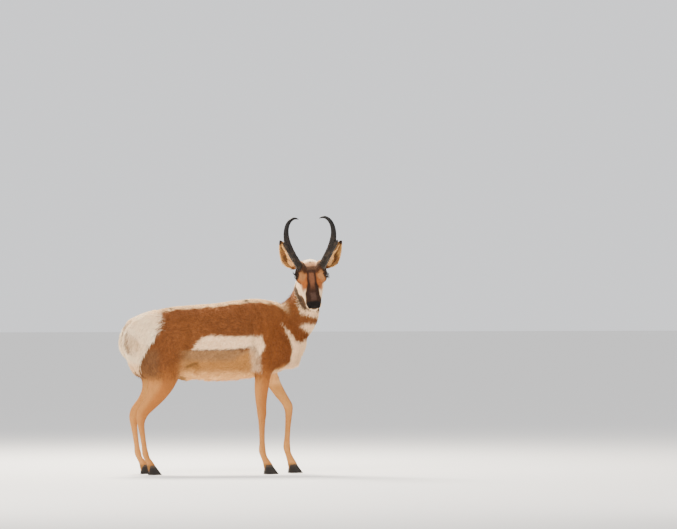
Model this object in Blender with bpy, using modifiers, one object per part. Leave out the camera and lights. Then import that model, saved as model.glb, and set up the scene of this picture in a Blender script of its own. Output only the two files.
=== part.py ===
"""A pronghorn buck in mid step, with its head turned to its right, as a life-size model.

Metres, +Z up, +X towards the chest, +Y to the animal's left. The hooves stand on z = 0.
The flesh is lofted and fused into one skin, then parted with thin cuts into named nodes.
"""

import math
import random

import bmesh
import bpy
import numpy as np
from mathutils import Matrix, Vector
from mathutils.bvhtree import BVHTree

GAP = 0.0003
BODY_GRAIN = 0.005
HEAD_GRAIN = 0.0028
BODY_SHARE = 0.034
HEAD_SHARE = 0.028

# Locks of hair: length, width, thickness, how far the tip stands off the skin
RUMP_LOCK = (0.074, 0.032, 0.0060, 0.0105)
NAPE_LOCK = (0.046, 0.017, 0.0055, 0.012)
TAIL_LOCK = (0.042, 0.013, 0.0050, 0.006)
LOCK_SINK = 0.006
# Rows of rump locks by their rise in degrees, and the step between two locks of a row
RUMP_ROWS = (74, 56, 37, 17, -4, -25)
RUMP_STEP = 16.5
LOWEST_RUMP_LOCK = 0.610
TAIL_ROOM = 0.026
NAPE_PARTING = 0.011
# Rows of tail locks: height and places across
TAIL_ROWS = ((0.748, (0.0,)), (0.728, (0.010, -0.010)), (0.704, (0.0,)), (0.686, (0.008, -0.008)))

# Trunk sections along x: x, underside, topline, half width, height of the widest level, shift to the left
TRUNK = [
    (-0.440, 0.622, 0.746, 0.054, 0.55, 0.0),
    (-0.420, 0.572, 0.780, 0.086, 0.55, 0.0),
    (-0.378, 0.540, 0.811, 0.104, 0.58, 0.0),
    (-0.290, 0.520, 0.840, 0.114, 0.60, 0.0),
    (-0.190, 0.500, 0.860, 0.118, 0.55, 0.0),
    (-0.090, 0.484, 0.868, 0.130, 0.48, 0.0),
    (0.010, 0.477, 0.875, 0.141, 0.45, 0.0),
    (0.110, 0.479, 0.888, 0.140, 0.45, 0.0),
    (0.200, 0.487, 0.899, 0.128, 0.44, 0.0),
    (0.280, 0.498, 0.896, 0.110, 0.42, -0.002),
    (0.350, 0.514, 0.880, 0.098, 0.42, -0.005),
    (0.410, 0.542, 0.835, 0.084, 0.42, -0.009),
    (0.458, 0.585, 0.790, 0.066, 0.45, -0.012),
    (0.488, 0.618, 0.745, 0.048, 0.50, -0.014),
    (0.502, 0.655, 0.705, 0.022, 0.50, -0.014),
]
TRUNK_SQUARE = 2.15

# Neck sections from the chest up: centre, heading in degrees, half width, nape and throat reach
NECK = [
    ((0.310, 0.000, 0.720), 0, 0.086, 0.140, 0.125),
    ((0.375, 0.000, 0.752), -3, 0.082, 0.118, 0.126),
    ((0.432, -0.006, 0.795), -14, 0.076, 0.098, 0.124),
    ((0.473, -0.014, 0.855), -34, 0.069, 0.084, 0.108),
    ((0.495, -0.022, 0.920), -58, 0.063, 0.074, 0.078),
    ((0.504, -0.030, 0.985), -80, 0.058, 0.067, 0.056),
    ((0.507, -0.040, 1.035), -93, 0.050, 0.056, 0.046),
    ((0.506, -0.062, 1.062), -95, 0.040, 0.044, 0.036),
]

# The head's own frame runs u to the nose, v to the left and w up, from the back of the skull
EYES_MIDDLE = Vector((0.499, -0.140, 1.017))
HEAD_HEADING = -98
HEAD_PITCH = 44
HEAD_ROLL = 3
HEAD_SCALE = 1.06
EYE = (0.110, 0.0608, 0.045)
EYE_RADIUS = 0.0190
EYE_COUNT = (14, 9)
LID = 0.0030
# The way the eye looks, in the head's frame, and half the length and height of the opening between the lids
GAZE = (0.27, 0.95, 0.15)
EYE_OPENING = (0.0185, 0.0122)
EYE_SLANT = -16

# Skull and muzzle sections: u, lower and upper profile, half width, squareness
SKULL = [
    (-0.004, -0.018, 0.046, 0.034, 2.0),
    (0.012, -0.030, 0.064, 0.048, 2.0),
    (0.035, -0.034, 0.077, 0.056, 2.0),
    (0.065, -0.034, 0.084, 0.060, 2.1),
    (0.095, -0.030, 0.084, 0.062, 2.2),
    (0.120, -0.026, 0.078, 0.060, 2.2),
    (0.150, -0.020, 0.067, 0.053, 2.1),
    (0.180, -0.014, 0.056, 0.0465, 2.1),
    (0.210, -0.010, 0.046, 0.0420, 2.2),
    (0.240, -0.009, 0.038, 0.0395, 2.3),
    (0.262, -0.009, 0.031, 0.0375, 2.4),
    (0.280, -0.008, 0.023, 0.0330, 2.4),
    (0.292, -0.004, 0.012, 0.0210, 2.2),
]

# Lower jaw sections: u, lower and upper profile, half width
JAW = [
    (0.022, -0.050, 0.000, 0.038),
    (0.050, -0.066, 0.005, 0.053),
    (0.085, -0.068, 0.000, 0.060),
    (0.120, -0.062, -0.004, 0.058),
    (0.155, -0.053, -0.008, 0.052),
    (0.190, -0.044, -0.010, 0.044),
    (0.225, -0.037, -0.011, 0.0370),
    (0.255, -0.032, -0.012, 0.0320),
    (0.272, -0.027, -0.012, 0.0280),
    (0.281, -0.020, -0.014, 0.0140),
]

# The flesh between skull and jaw: u, lower and upper profile, half width
CHEEK_WALL = [
    (0.030, -0.055, 0.025, 0.042),
    (0.080, -0.054, 0.025, 0.062),
    (0.120, -0.048, 0.022, 0.062),
    (0.160, -0.040, 0.017, 0.0540),
    (0.200, -0.033, 0.011, 0.0460),
    (0.235, -0.028, 0.008, 0.0400),
    (0.262, -0.023, 0.006, 0.0340),
    (0.276, -0.017, 0.002, 0.0240),
]

# Leg sections from the top down: x, z, half width, reach to the front, reach to the rear
FORELEG = [
    (0.300, 0.700, 0.030, 0.060, 0.060),
    (0.290, 0.620, 0.042, 0.066, 0.066),
    (0.272, 0.550, 0.040, 0.054, 0.056),
    (0.262, 0.500, 0.033, 0.044, 0.046),
    (0.257, 0.440, 0.028, 0.036, 0.040),
    (0.254, 0.380, 0.0235, 0.030, 0.033),
    (0.254, 0.335, 0.0225, 0.027, 0.026),
    (0.255, 0.305, 0.0230, 0.026, 0.024),
    (0.256, 0.275, 0.0185, 0.020, 0.020),
    (0.257, 0.220, 0.0145, 0.0155, 0.0175),
    (0.258, 0.160, 0.0140, 0.0145, 0.0170),
    (0.259, 0.120, 0.0175, 0.0180, 0.0210),
    (0.266, 0.090, 0.0155, 0.0165, 0.0175),
    (0.277, 0.064, 0.0190, 0.0205, 0.0190),
    (0.287, 0.038, 0.0235, 0.0270, 0.0240),
    (0.292, 0.020, 0.0235, 0.0270, 0.0240),
]
STEPPING_FORELEG = [
    (0.315, 0.700, 0.030, 0.060, 0.060),
    (0.318, 0.620, 0.042, 0.064, 0.064),
    (0.318, 0.555, 0.040, 0.050, 0.054),
    (0.330, 0.505, 0.033, 0.041, 0.044),
    (0.352, 0.455, 0.028, 0.034, 0.037),
    (0.382, 0.405, 0.0235, 0.028, 0.030),
    (0.407, 0.368, 0.0225, 0.025, 0.025),
    (0.420, 0.340, 0.0230, 0.026, 0.024),
    (0.423, 0.308, 0.0185, 0.021, 0.020),
    (0.421, 0.250, 0.0145, 0.0155, 0.0175),
    (0.417, 0.185, 0.0140, 0.0145, 0.0170),
    (0.415, 0.135, 0.0175, 0.0180, 0.0210),
    (0.421, 0.102, 0.0155, 0.0165, 0.0175),
    (0.432, 0.070, 0.0190, 0.0205, 0.0190),
    (0.443, 0.040, 0.0235, 0.0270, 0.0240),
    (0.448, 0.020, 0.0235, 0.0270, 0.0240),
]
HIND_LEG = [
    (-0.280, 0.800, 0.034, 0.090, 0.100),
    (-0.272, 0.730, 0.050, 0.128, 0.138),
    (-0.262, 0.660, 0.057, 0.140, 0.166),
    (-0.252, 0.590, 0.055, 0.126, 0.166),
    (-0.248, 0.530, 0.047, 0.092, 0.142),
    (-0.262, 0.470, 0.038, 0.070, 0.094),
    (-0.289, 0.415, 0.030, 0.054, 0.053),
    (-0.325, 0.366, 0.0235, 0.042, 0.036),
    (-0.357, 0.328, 0.0215, 0.036, 0.032),
    (-0.370, 0.292, 0.0205, 0.029, 0.028),
    (-0.370, 0.255, 0.0165, 0.0195, 0.0210),
    (-0.362, 0.200, 0.0135, 0.0155, 0.0175),
    (-0.354, 0.145, 0.0135, 0.0150, 0.0170),
    (-0.348, 0.108, 0.0170, 0.0180, 0.0205),
    (-0.339, 0.082, 0.0150, 0.0165, 0.0175),
    (-0.327, 0.060, 0.0185, 0.0200, 0.0185),
    (-0.318, 0.036, 0.0228, 0.0255, 0.0230),
    (-0.312, 0.020, 0.0228, 0.0255, 0.0230),
]
FORELEG_TRACK = (0.078, 0.066)
HIND_LEG_TRACK = (0.078, 0.080)
HIND_LEFT_STEP = -0.012

CORONET = 0.044
# Claws: length, width of one claw, half the distance between the two
FORE_CLAWS = (0.076, 0.0235, 0.0132)
HIND_CLAWS = (0.070, 0.0220, 0.0126)
TOE_SLOPE = 0.74
HEEL_SLOPE = 0.12

# Horn line from its foot: outwards, forwards, upwards, half width, half depth
HORN_FOOT = (0.090, 0.0570, 0.090)
HORN = [
    (-0.008, -0.014, -0.030, 0.0175, 0.0270),
    (0.000, 0.000, 0.000, 0.0182, 0.0290),
    (0.0185, 0.014, 0.034, 0.0182, 0.0300),
    (0.0380, 0.028, 0.070, 0.0184, 0.0295),
    (0.0520, 0.040, 0.106, 0.0178, 0.0250),
    (0.0590, 0.048, 0.140, 0.0152, 0.0175),
    (0.0605, 0.053, 0.174, 0.0130, 0.0138),
    (0.0540, 0.053, 0.206, 0.0114, 0.0114),
    (0.0400, 0.049, 0.230, 0.0096, 0.0094),
    (0.0210, 0.043, 0.2430, 0.0074, 0.0072),
    (0.0040, 0.038, 0.2430, 0.0050, 0.0048),
    (-0.0090, 0.035, 0.2380, 0.0013, 0.0013),
]
PRONG = [
    (0.0380, 0.022, 0.062, 0.0125, 0.0190),
    (0.0490, 0.041, 0.083, 0.0130, 0.0205),
    (0.0610, 0.060, 0.100, 0.0118, 0.0165),
    (0.0715, 0.074, 0.113, 0.0086, 0.0098),
    (0.0790, 0.081, 0.126, 0.0014, 0.0018),
]

# Ear sections from root to tip: share of the length, half width, half angle of the cup in degrees
EAR_ROOT = (0.048, 0.0600, 0.040)
EAR_LENGTH = 0.166
EAR_OUT = {-1: 30, 1: 40}
EAR_BACK = 6
EAR_TURN = 25
EAR_SWAY = 0.0070
EAR_WALL = 0.0030
EAR = [
    (0.00, 0.0150, 140),
    (0.10, 0.0225, 114),
    (0.22, 0.0340, 90),
    (0.38, 0.0415, 74),
    (0.55, 0.0390, 64),
    (0.72, 0.0300, 56),
    (0.87, 0.0170, 50),
    (0.97, 0.0060, 45),
    (1.00, 0.0025, 40),
]

# Tail sections from the root down: x, z, half width, reach to the front, reach to the rear
TAIL = [
    (-0.387, 0.792, 0.0170, 0.012, 0.012),
    (-0.413, 0.783, 0.0190, 0.011, 0.012),
    (-0.434, 0.760, 0.0200, 0.010, 0.012),
    (-0.445, 0.729, 0.0200, 0.009, 0.011),
    (-0.450, 0.697, 0.0180, 0.008, 0.010),
    (-0.452, 0.669, 0.0130, 0.006, 0.007),
    (-0.451, 0.645, 0.0030, 0.002, 0.002),
]


def between(rows, steps):
    """Rows of numbers drawn out into a smooth series, steps for each stretch (a Catmull-Rom curve)."""
    rows = np.array(rows, float)
    padded = np.vstack([2 * rows[0] - rows[1], rows, 2 * rows[-1] - rows[-2]])
    out = []
    for a, b, c, d in zip(padded, padded[1:], padded[2:], padded[3:]):
        for step in range(steps):
            t = step / steps
            out.append(
                0.5 * (2 * b + (c - a) * t + (2 * a - 5 * b + 4 * c - d) * t * t
                       + (3 * b - a - 3 * c + d) * t ** 3)
            )
    out.append(rows[-1])
    return np.array(out)


def section(centre, side, up, half, rise, drop, square, count):
    """The points of one closed section: a superellipse, half wide, rise above its centre and drop below."""
    points = []
    for i in range(count):
        angle = 2 * math.pi * i / count
        c, s = math.cos(angle), math.sin(angle)
        across = half * math.copysign(abs(c) ** (2 / square), c)
        along = (rise if s > 0 else drop) * math.copysign(abs(s) ** (2 / square), s)
        points.append(centre + side * across + up * along)
    return points


def loft(name, rings):
    """A closed mesh object through rings of points, with a flat cap at each end."""
    bm = bmesh.new()
    rows = [[bm.verts.new(p) for p in ring] for ring in rings]
    for low, high in zip(rows, rows[1:]):
        for i in range(len(low)):
            j = (i + 1) % len(low)
            bm.faces.new((low[i], low[j], high[j], high[i]))
    bm.faces.new(rows[0])
    bm.faces.new(rows[-1])
    bmesh.ops.recalc_face_normals(bm, faces=bm.faces)
    return as_object(name, bm)


def as_object(name, bm):
    mesh = bpy.data.meshes.new(name)
    bm.to_mesh(mesh)
    bm.free()
    made = bpy.data.objects.new(name, mesh)
    workshop.objects.link(made)
    return made


def tangents(centres):
    ends = [centres[0]] + list(centres) + [centres[-1]]
    return [(b - a).normalized() for a, b in zip(ends, ends[2:])]


def trunk():
    rings = []
    for x, low, high, half, level, shift in between(TRUNK, 3):
        middle = low + (high - low) * level
        centre = Vector((x, shift, middle))
        rings.append(
            section(centre, Vector((0, 1, 0)), Vector((0, 0, 1)), half, high - middle, middle - low,
                    TRUNK_SQUARE, 40)
        )
    return loft("trunk", rings)


def neck():
    rows = between([(*place, heading, half, nape, throat) for place, heading, half, nape, throat in NECK], 4)
    centres = [Vector(row[:3]) for row in rows]
    rings = []
    for centre, ahead, row in zip(centres, tangents(centres), rows):
        heading = math.radians(row[3])
        side = Vector((-math.sin(heading), math.cos(heading), 0))
        side = (side - ahead * side.dot(ahead)).normalized()
        rings.append(section(centre, side, ahead.cross(side), row[4], row[5], row[6], 2.1, 32))
    return loft("neck_form", rings)


def leg(name, rows, track_top, track_foot, side, shift=0.0, steps=3, count=20):
    """One leg. It stands track_top from the middle plane at the body and track_foot at the hoof."""
    rows = between(rows, steps)
    highest, lowest = rows[0][1], rows[-1][1]
    centres = []
    for x, z, *_ in rows:
        share = min(1.0, (highest - z) / (highest - lowest))
        down = min(1.0, share * 1.6)
        centres.append(Vector((x + shift * down, side * (track_top + (track_foot - track_top) * share), z)))
    rings = []
    for centre, ahead, row in zip(centres, tangents(centres), rows):
        across = Vector((0, 1, 0))
        across = (across - ahead * across.dot(ahead)).normalized()
        rings.append(section(centre, across, ahead.cross(across), row[2], row[3], row[4], 2.1, count))
    return loft(name, rings)


def facing():
    """The turn of the head about the vertical, with its slight lean to the animal's right."""
    heading = Matrix.Rotation(math.radians(HEAD_HEADING), 4, "Z")
    return heading @ Matrix.Rotation(math.radians(HEAD_ROLL), 4, "X")


def head_matrix():
    """Places the head's frame, so that the middle between the eyes is where the photo has it."""
    turn = facing() @ Matrix.Rotation(math.radians(HEAD_PITCH), 4, "Y") @ Matrix.Scale(HEAD_SCALE, 4)
    return Matrix.Translation(EYES_MIDDLE - turn @ Vector((EYE[0], 0, EYE[2]))) @ turn


def on_head(u, v, w):
    return head_matrix() @ Vector((u, v, w))


def ball(name, centre, radii, tilt=0.0, axis="Y", count=(24, 16)):
    """An ellipsoid, turned by tilt degrees about one axis."""
    bm = bmesh.new()
    bmesh.ops.create_uvsphere(bm, u_segments=count[0], v_segments=count[1], radius=1)
    turn = Matrix.Rotation(math.radians(tilt), 4, axis)
    bm.transform(Matrix.Translation(centre) @ turn @ Matrix.Diagonal((*radii, 1)))
    return as_object(name, bm)


def profile_loft(name, rows, count):
    """A loft in the head's frame, along u."""
    rings = []
    for u, low, high, half, square in between(rows, 3):
        middle = low + (high - low) * 0.42
        rings.append(
            section(Vector((u, 0, middle)), Vector((0, 1, 0)), Vector((0, 0, 1)), half, high - middle,
                    middle - low, square, count)
        )
    return loft(name, rings)


def head_forms():
    """The head's masses: skull with muzzle, lower jaw, cheeks, brows, horn feet, lips and nose wings."""
    forms = [profile_loft("skull", SKULL, 32)]
    for name, rows in (("jaw", JAW), ("cheek_wall", CHEEK_WALL)):
        forms.append(profile_loft(name, [(*row, 2.2) for row in rows], 24))
    for side in (-1, 1):
        u, v, w = EYE
        forms += [
            ball("cheek", (0.078, side * 0.040, -0.014), (0.062, 0.024, 0.048), 10),
            ball("orbit", (u - 0.002, side * (v - 0.0075), w + 0.001), (0.046, 0.0275, 0.033), 12),
            ball("temple", (u - 0.044, side * 0.047, w - 0.004), (0.040, 0.020, 0.036), 0),
            ball("cheek_ridge", (u + 0.014, side * 0.040, w - 0.032), (0.062, 0.016, 0.024), 16),
            ball("horn_foot", (HORN_FOOT[0] - 0.004, side * (HORN_FOOT[1] - 0.009), HORN_FOOT[2] - 0.018),
                 (0.044, 0.026, 0.034), -10),
            ball("ear_root", (0.044, side * 0.054, 0.034), (0.020, 0.014, 0.022), 10),
            ball("upper_lip", (0.264, side * 0.0205, -0.001), (0.028, 0.0185, 0.0155), 0),
            ball("nose_wing", (0.280, side * 0.0185, 0.013), (0.014, 0.0130, 0.0115), 20),
        ]
    forms.append(ball("chin", (0.268, 0, -0.025), (0.019, 0.021, 0.012)))
    for form in forms:
        form.data.transform(head_matrix())
    return forms


def body_forms():
    forms = [trunk(), neck()]
    forms.append(leg("fore_right", FORELEG, 0.060, FORELEG_TRACK[0], -1))
    forms.append(leg("fore_left", STEPPING_FORELEG, 0.060, FORELEG_TRACK[1], 1))
    forms.append(leg("hind_right", HIND_LEG, 0.056, HIND_LEG_TRACK[0], -1))
    forms.append(leg("hind_left", HIND_LEG, 0.056, HIND_LEG_TRACK[1], 1, HIND_LEFT_STEP))
    for side in (-1, 1):
        forms += [
            ball("shoulder", (0.285, side * 0.070, 0.700), (0.082, 0.040, 0.155), -14),
            ball("point_of_shoulder", (0.392, side * 0.062, 0.640), (0.060, 0.034, 0.055), 20),
            ball("rib_cage", (0.060, side * 0.050, 0.670), (0.220, 0.088, 0.160)),
            ball("buttock", (-0.404, side * 0.054, 0.684), (0.062, 0.044, 0.098), 8),
            ball("ham", (-0.348, side * 0.064, 0.580), (0.070, 0.040, 0.100), -22),
            ball("flank_fold", (-0.150, side * 0.090, 0.560), (0.070, 0.020, 0.060), 40),
        ]
    forms.append(ball("brisket", (0.415, -0.010, 0.590), (0.060, 0.045, 0.060), 20))
    forms.append(ball("sheath", (-0.135, 0, 0.487), (0.042, 0.011, 0.014), 8))
    return forms


def fuse(name, forms, voxel, even):
    """Overlapping closed forms made one skin, smoothed over the length that even gives at each point."""
    whole = bmesh.new()
    for form in forms:
        whole.from_mesh(form.data)
        bpy.data.objects.remove(form)
    skin = as_object(name, whole)
    remesh = skin.modifiers.new("fuse", "REMESH")
    remesh.mode = "VOXEL"
    remesh.voxel_size = voxel
    settle(skin)
    mesh = skin.data
    spots = np.empty(len(mesh.vertices) * 3)
    mesh.vertices.foreach_get("co", spots)
    spots = spots.reshape(-1, 3)
    ends = np.empty(len(mesh.edges) * 2, int)
    mesh.edges.foreach_get("vertices", ends)
    ends = ends.reshape(-1, 2)
    ends = np.vstack([ends, ends[:, ::-1]])
    valence = np.bincount(ends[:, 0], minlength=len(spots))[:, None]
    rounds = 2 * (even(spots) / voxel) ** 2
    for turn in range(math.ceil(rounds.max())):
        pull = 0.5 * np.clip(rounds - turn, 0, 1)[:, None]
        near = np.stack([np.bincount(ends[:, 0], spots[ends[:, 1], k], len(spots)) for k in range(3)], 1)
        spots += pull * (near / valence - spots)
    mesh.vertices.foreach_set("co", spots.ravel())
    mesh.update()
    return skin


def body_softness(spots):
    """The smoothing length of the body: broad on the trunk, small on the legs."""
    share = np.clip((spots[:, 2] - 0.44) / 0.12, 0, 1) * np.clip((0.98 - spots[:, 2]) / 0.10, 0.4, 1)
    return 0.006 + 0.010 * share


def head_softness(spots):
    """The smoothing length of the head: broad at the skull, small at the muzzle."""
    turn = np.array(head_matrix().inverted())
    along = spots @ turn[0, :3] + turn[0, 3]
    share = np.clip((along - 0.13) / 0.10, 0, 1)
    return 0.0100 - 0.0062 * share


def settle(obj):
    """Makes an object's modifiers permanent."""
    graph = bpy.context.evaluated_depsgraph_get()
    mesh = bpy.data.meshes.new_from_object(obj.evaluated_get(graph))
    obj.modifiers.clear()
    obj.data = mesh
    return obj


def horn(side):
    """One horn: a flattened beam that hooks inwards, with its prong fused on."""
    place = Matrix.Translation(on_head(HORN_FOOT[0], side * HORN_FOOT[1], HORN_FOOT[2])) @ facing()

    def arm(name, rows, steps, count):
        rows = between(rows, steps)
        centres = [Vector((row[1], side * row[0], row[2])) for row in rows]
        rings = []
        for centre, ahead, row in zip(centres, tangents(centres), rows):
            across = Vector((0, 1, 0))
            across = (across - ahead * across.dot(ahead)).normalized()
            rings.append(section(centre, across, ahead.cross(across), row[3], row[4], row[4], 2.0, count))
        return loft(name, [[place @ p for p in ring] for ring in rings])

    beam = arm(f"horn_{SIDES[side]}", HORN, 2, 9)
    prong = arm("prong", PRONG, 2, 7)
    return combined(beam, [prong], "UNION")


def ear(side):
    """One ear: a cupped leaf that narrows to a tube at its root."""
    rows = between(EAR, 2)
    count = 6
    bm = bmesh.new()
    grid = []
    for share, half, angle in rows:
        spread = math.radians(angle)
        radius = half / math.sin(min(spread, math.pi / 2))
        bow = 0.010 * math.sin(math.pi * share)
        sway = side * EAR_SWAY * math.sin(math.pi * share ** 0.75)
        row = []
        for i in range(count + 1):
            turn = spread * (2 * i / count - 1)
            along = share * EAR_LENGTH
            point = Vector((radius * (1 - math.cos(turn)) - bow, radius * math.sin(turn) + sway, along))
            row.append(bm.verts.new(point))
        grid.append(row)
    for low, high in zip(grid, grid[1:]):
        for i in range(count):
            bm.faces.new((low[i], low[i + 1], high[i + 1], high[i]))
    root = on_head(EAR_ROOT[0], side * EAR_ROOT[1], EAR_ROOT[2])
    lean = Matrix.Rotation(math.radians(-side * EAR_OUT[side]), 4, "X")
    lean = lean @ Matrix.Rotation(math.radians(-EAR_BACK), 4, "Y")
    turn = Matrix.Rotation(math.radians(side * EAR_TURN), 4, "Z")
    bm.transform(Matrix.Translation(root) @ facing() @ lean @ turn)
    made = as_object(f"ear_{SIDES[side]}", bm)
    wall = made.modifiers.new("wall", "SOLIDIFY")
    wall.thickness = EAR_WALL
    wall.offset = 0
    return settle(made)


def eye_frame(side):
    """The eye's own frame: +X along the gaze, +Y towards the front corner, in place on the head."""
    gaze = Vector((GAZE[0], side * GAZE[1], GAZE[2])).normalized()
    front = Vector((1, 0, -math.tan(math.radians(EYE_SLANT))))
    front = (front - gaze * front.dot(gaze)).normalized()
    turn = Matrix((gaze, front, gaze.cross(front))).transposed().to_4x4()
    place = head_matrix() @ Matrix.Translation((EYE[0], side * EYE[1], EYE[2])) @ turn
    return place @ Matrix.Scale(1 / HEAD_SCALE, 4)


def globe(name, side, radius):
    """A ball about the middle of one eye, with its pole along the gaze."""
    made = ball(name, (0, 0, 0), [radius] * 3, 90, "Y", EYE_COUNT)
    made.data.transform(eye_frame(side))
    return made


def eye_cone(name, side, half_length, half_height, pointed, reaches):
    """A cone from the middle of the eye; its almond outline is measured at the eye's surface."""
    rings = []
    for reach in reaches:
        ring = []
        for i in range(16):
            angle = 2 * math.pi * i / 16
            height = math.copysign(abs(math.sin(angle)) ** pointed, math.sin(angle))
            height *= half_height * (1.06 if height > 0 else 0.92)
            ring.append(Vector((EYE_RADIUS, half_length * math.cos(angle), height)) * reach)
        rings.append([eye_frame(side) @ p for p in ring])
    return loft(name, rings)


def eye_bowl(side):
    """The flesh that would stand in front of the lids."""
    bowl = eye_cone("eye_bowl", side, EYE_OPENING[0] * 1.30, EYE_OPENING[1] * 1.55, 1.0, (0.5, 2.4))
    return combined(bowl, [globe("lids", side, EYE_RADIUS + LID * 0.9)], "DIFFERENCE")


def nostril(side):
    """A hollow at the side of the nose, wide in front and drawn out to the rear."""
    place = Matrix.Translation((0.2870, side * 0.0182, 0.0120))
    place = place @ Matrix.Rotation(math.radians(side * 24), 4, "Z")
    place = place @ Matrix.Rotation(math.radians(38), 4, "Y")
    made = ball("nostril", (0, 0, 0), (0.0105, 0.0040, 0.0052), 0, "Y", (12, 8))
    made.data.transform(head_matrix() @ place)
    return made


def mouth():
    """A thin band round the muzzle, which leaves the line of the mouth and parts the lips."""
    front, corner = 0.2885, 0.205
    rings = []
    for step in range(-12, 13):
        share = abs(step) / 12
        side = 1 if step > 0 else -1
        bend = math.sin(share * math.pi / 2) ** 0.7
        u = corner + (front - corner) * math.cos(share * math.pi / 2) ** 0.55
        v = side * 0.0350 * bend * (1 + 0.16 * share ** 3)
        w = -0.0120 + 0.0042 * share ** 2
        outward = Vector((1 - share * 0.97, side * share * 1.25, 0)).normalized()
        thick = 0.00065 - 0.00030 * share
        inner = Vector((u, v, w)) - outward * (0.0050 - 0.0028 * share)
        outer = Vector((u, v, w)) + outward * 0.0090
        up = Vector((0, 0, thick))
        rings.append([inner - up, outer - up * 2.2, outer + up * 2.2, inner + up])
    made = loft("mouth", rings)
    made.data.transform(head_matrix())
    return made


def claws(name, toe, side_y, size):
    """The two claws of one foot, flat below and flat above where the leg meets them."""
    length, width, spread = size
    made = []
    for claw in (-1, 1):
        rings = []
        for z, swell in ((0.0, 0.97), (0.008, 1.0), (0.026, 0.94), (CORONET - GAP / 2, 0.84)):
            front = toe + length * 0.55 - z * TOE_SLOPE
            rear = toe - length * 0.45 + z * HEEL_SLOPE
            ring = []
            for i in range(14):
                angle = 2 * math.pi * i / 14
                along = math.cos(angle)
                half = swell * width / 2 * math.copysign(abs(math.sin(angle)) ** 0.75, math.sin(angle))
                half *= 1 - 0.35 * max(0, along) ** 2
                x = (front + rear) / 2 + (front - rear) / 2 * along
                inward = 0.0030 * max(0, along) ** 2
                ring.append(Vector((x, side_y + claw * (spread * (0.9 + 0.1 * swell) - inward) + half, z)))
            rings.append(ring)
        made.append(loft(f"{name}_{'inner' if claw * side_y < 0 else 'outer'}", rings))
    return made


def combined(base, others, operation, solver="EXACT"):
    """The base joined with, or cut by, other closed pieces, which are used up."""
    group = bpy.data.collections.new("pieces")
    workshop.children.link(group)
    for other in others:
        workshop.objects.unlink(other)
        group.objects.link(other)
        other.hide_render = True
        other.display_type = "WIRE"
    change = base.modifiers.new("change", "BOOLEAN")
    change.operation = operation
    change.solver = solver
    change.operand_type = "COLLECTION"
    change.collection = group
    settle(base)
    for other in others:
        bpy.data.objects.remove(other)
    bpy.data.collections.remove(group)
    return base


def largest(obj):
    """Keeps only the largest closed surface of an object."""
    bm = bmesh.new()
    bm.from_mesh(obj.data)
    bmesh.ops.remove_doubles(bm, verts=bm.verts, dist=0.0000005)
    bm.faces.ensure_lookup_table()
    seen = set()
    shells = []
    for face in bm.faces:
        if face in seen:
            continue
        seen.add(face)
        shell, wave = [face], [face]
        while wave:
            near = wave.pop()
            for edge in near.edges:
                for other in edge.link_faces:
                    if other not in seen:
                        seen.add(other)
                        shell.append(other)
                        wave.append(other)
        shells.append(shell)
    shells.sort(key=lambda shell: sum(face.calc_area() for face in shell), reverse=True)
    for shell in shells[1:]:
        bmesh.ops.delete(bm, geom=shell, context="FACES")
    loose = [vert for vert in bm.verts if not vert.link_faces]
    bmesh.ops.delete(bm, geom=loose, context="VERTS")
    bmesh.ops.triangulate(bm, faces=bm.faces)
    bm.to_mesh(obj.data)
    bm.free()
    return obj


def region(name, planes, slack):
    """A large block trimmed by planes (a point and the direction that is kept), grown by slack."""
    bm = bmesh.new()
    bmesh.ops.create_cube(bm, size=3.0)
    bmesh.ops.translate(bm, verts=bm.verts, vec=(0.05, 0.013, 0.607))
    for point, keep in planes:
        keep = Vector(keep).normalized()
        cut = bmesh.ops.bisect_plane(
            bm, geom=bm.verts[:] + bm.edges[:] + bm.faces[:], plane_co=Vector(point) - keep * slack,
            plane_no=keep, clear_inner=True,
        )
        rim = [item for item in cut["geom_cut"] if isinstance(item, bmesh.types.BMEdge)]
        bmesh.ops.edgeloop_fill(bm, edges=rim)
    bmesh.ops.recalc_face_normals(bm, faces=bm.faces)
    return as_object(name, bm)


def copied(obj, name):
    made = bpy.data.objects.new(name, obj.data.copy())
    workshop.objects.link(made)
    return made


def inflated(obj, name, swell):
    """A copy with its skin moved outwards by swell."""
    made = copied(obj, name)
    bm = bmesh.new()
    bm.from_mesh(made.data)
    bm.normal_update()
    moved = [vert.co + vert.normal * swell * vert.calc_shell_factor() for vert in bm.verts]
    for vert, co in zip(bm.verts, moved):
        vert.co = co
    bm.to_mesh(made.data)
    bm.free()
    return made


def thinned(obj, share):
    thin = obj.modifiers.new("thin", "DECIMATE")
    thin.ratio = share
    return settle(obj)


def head_planes():
    """The head ends behind the ears and under the jaw."""
    turn = head_matrix().to_3x3()
    return [
        (on_head(0.020, 0, 0.060), turn @ Vector((1, 0, 0.10))),
        (on_head(0.000, 0, -0.080), turn @ Vector((-0.135, 0, 1))),
    ]


def leg_planes(side, low_x, high_x, top):
    return [
        ((low_x, 0, 0), (1, 0, 0)),
        ((high_x, 0, 0), (-1, 0, 0)),
        ((0, side * 0.020, 0), (0, side, 0)),
        ((0, 0, top), (0, 0, -1)),
    ]


NECK_PLANE = ((0.360, 0, 0.900), (0.88, 0, 0.476))
RUMP_PLANE = ((-0.262, 0, 0.860), (-0.93, 0, 0.366))
FORELEG_TOP = 0.472
HIND_LEG_TOP = 0.480

SIDES = {1: "left", -1: "right"}


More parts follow.
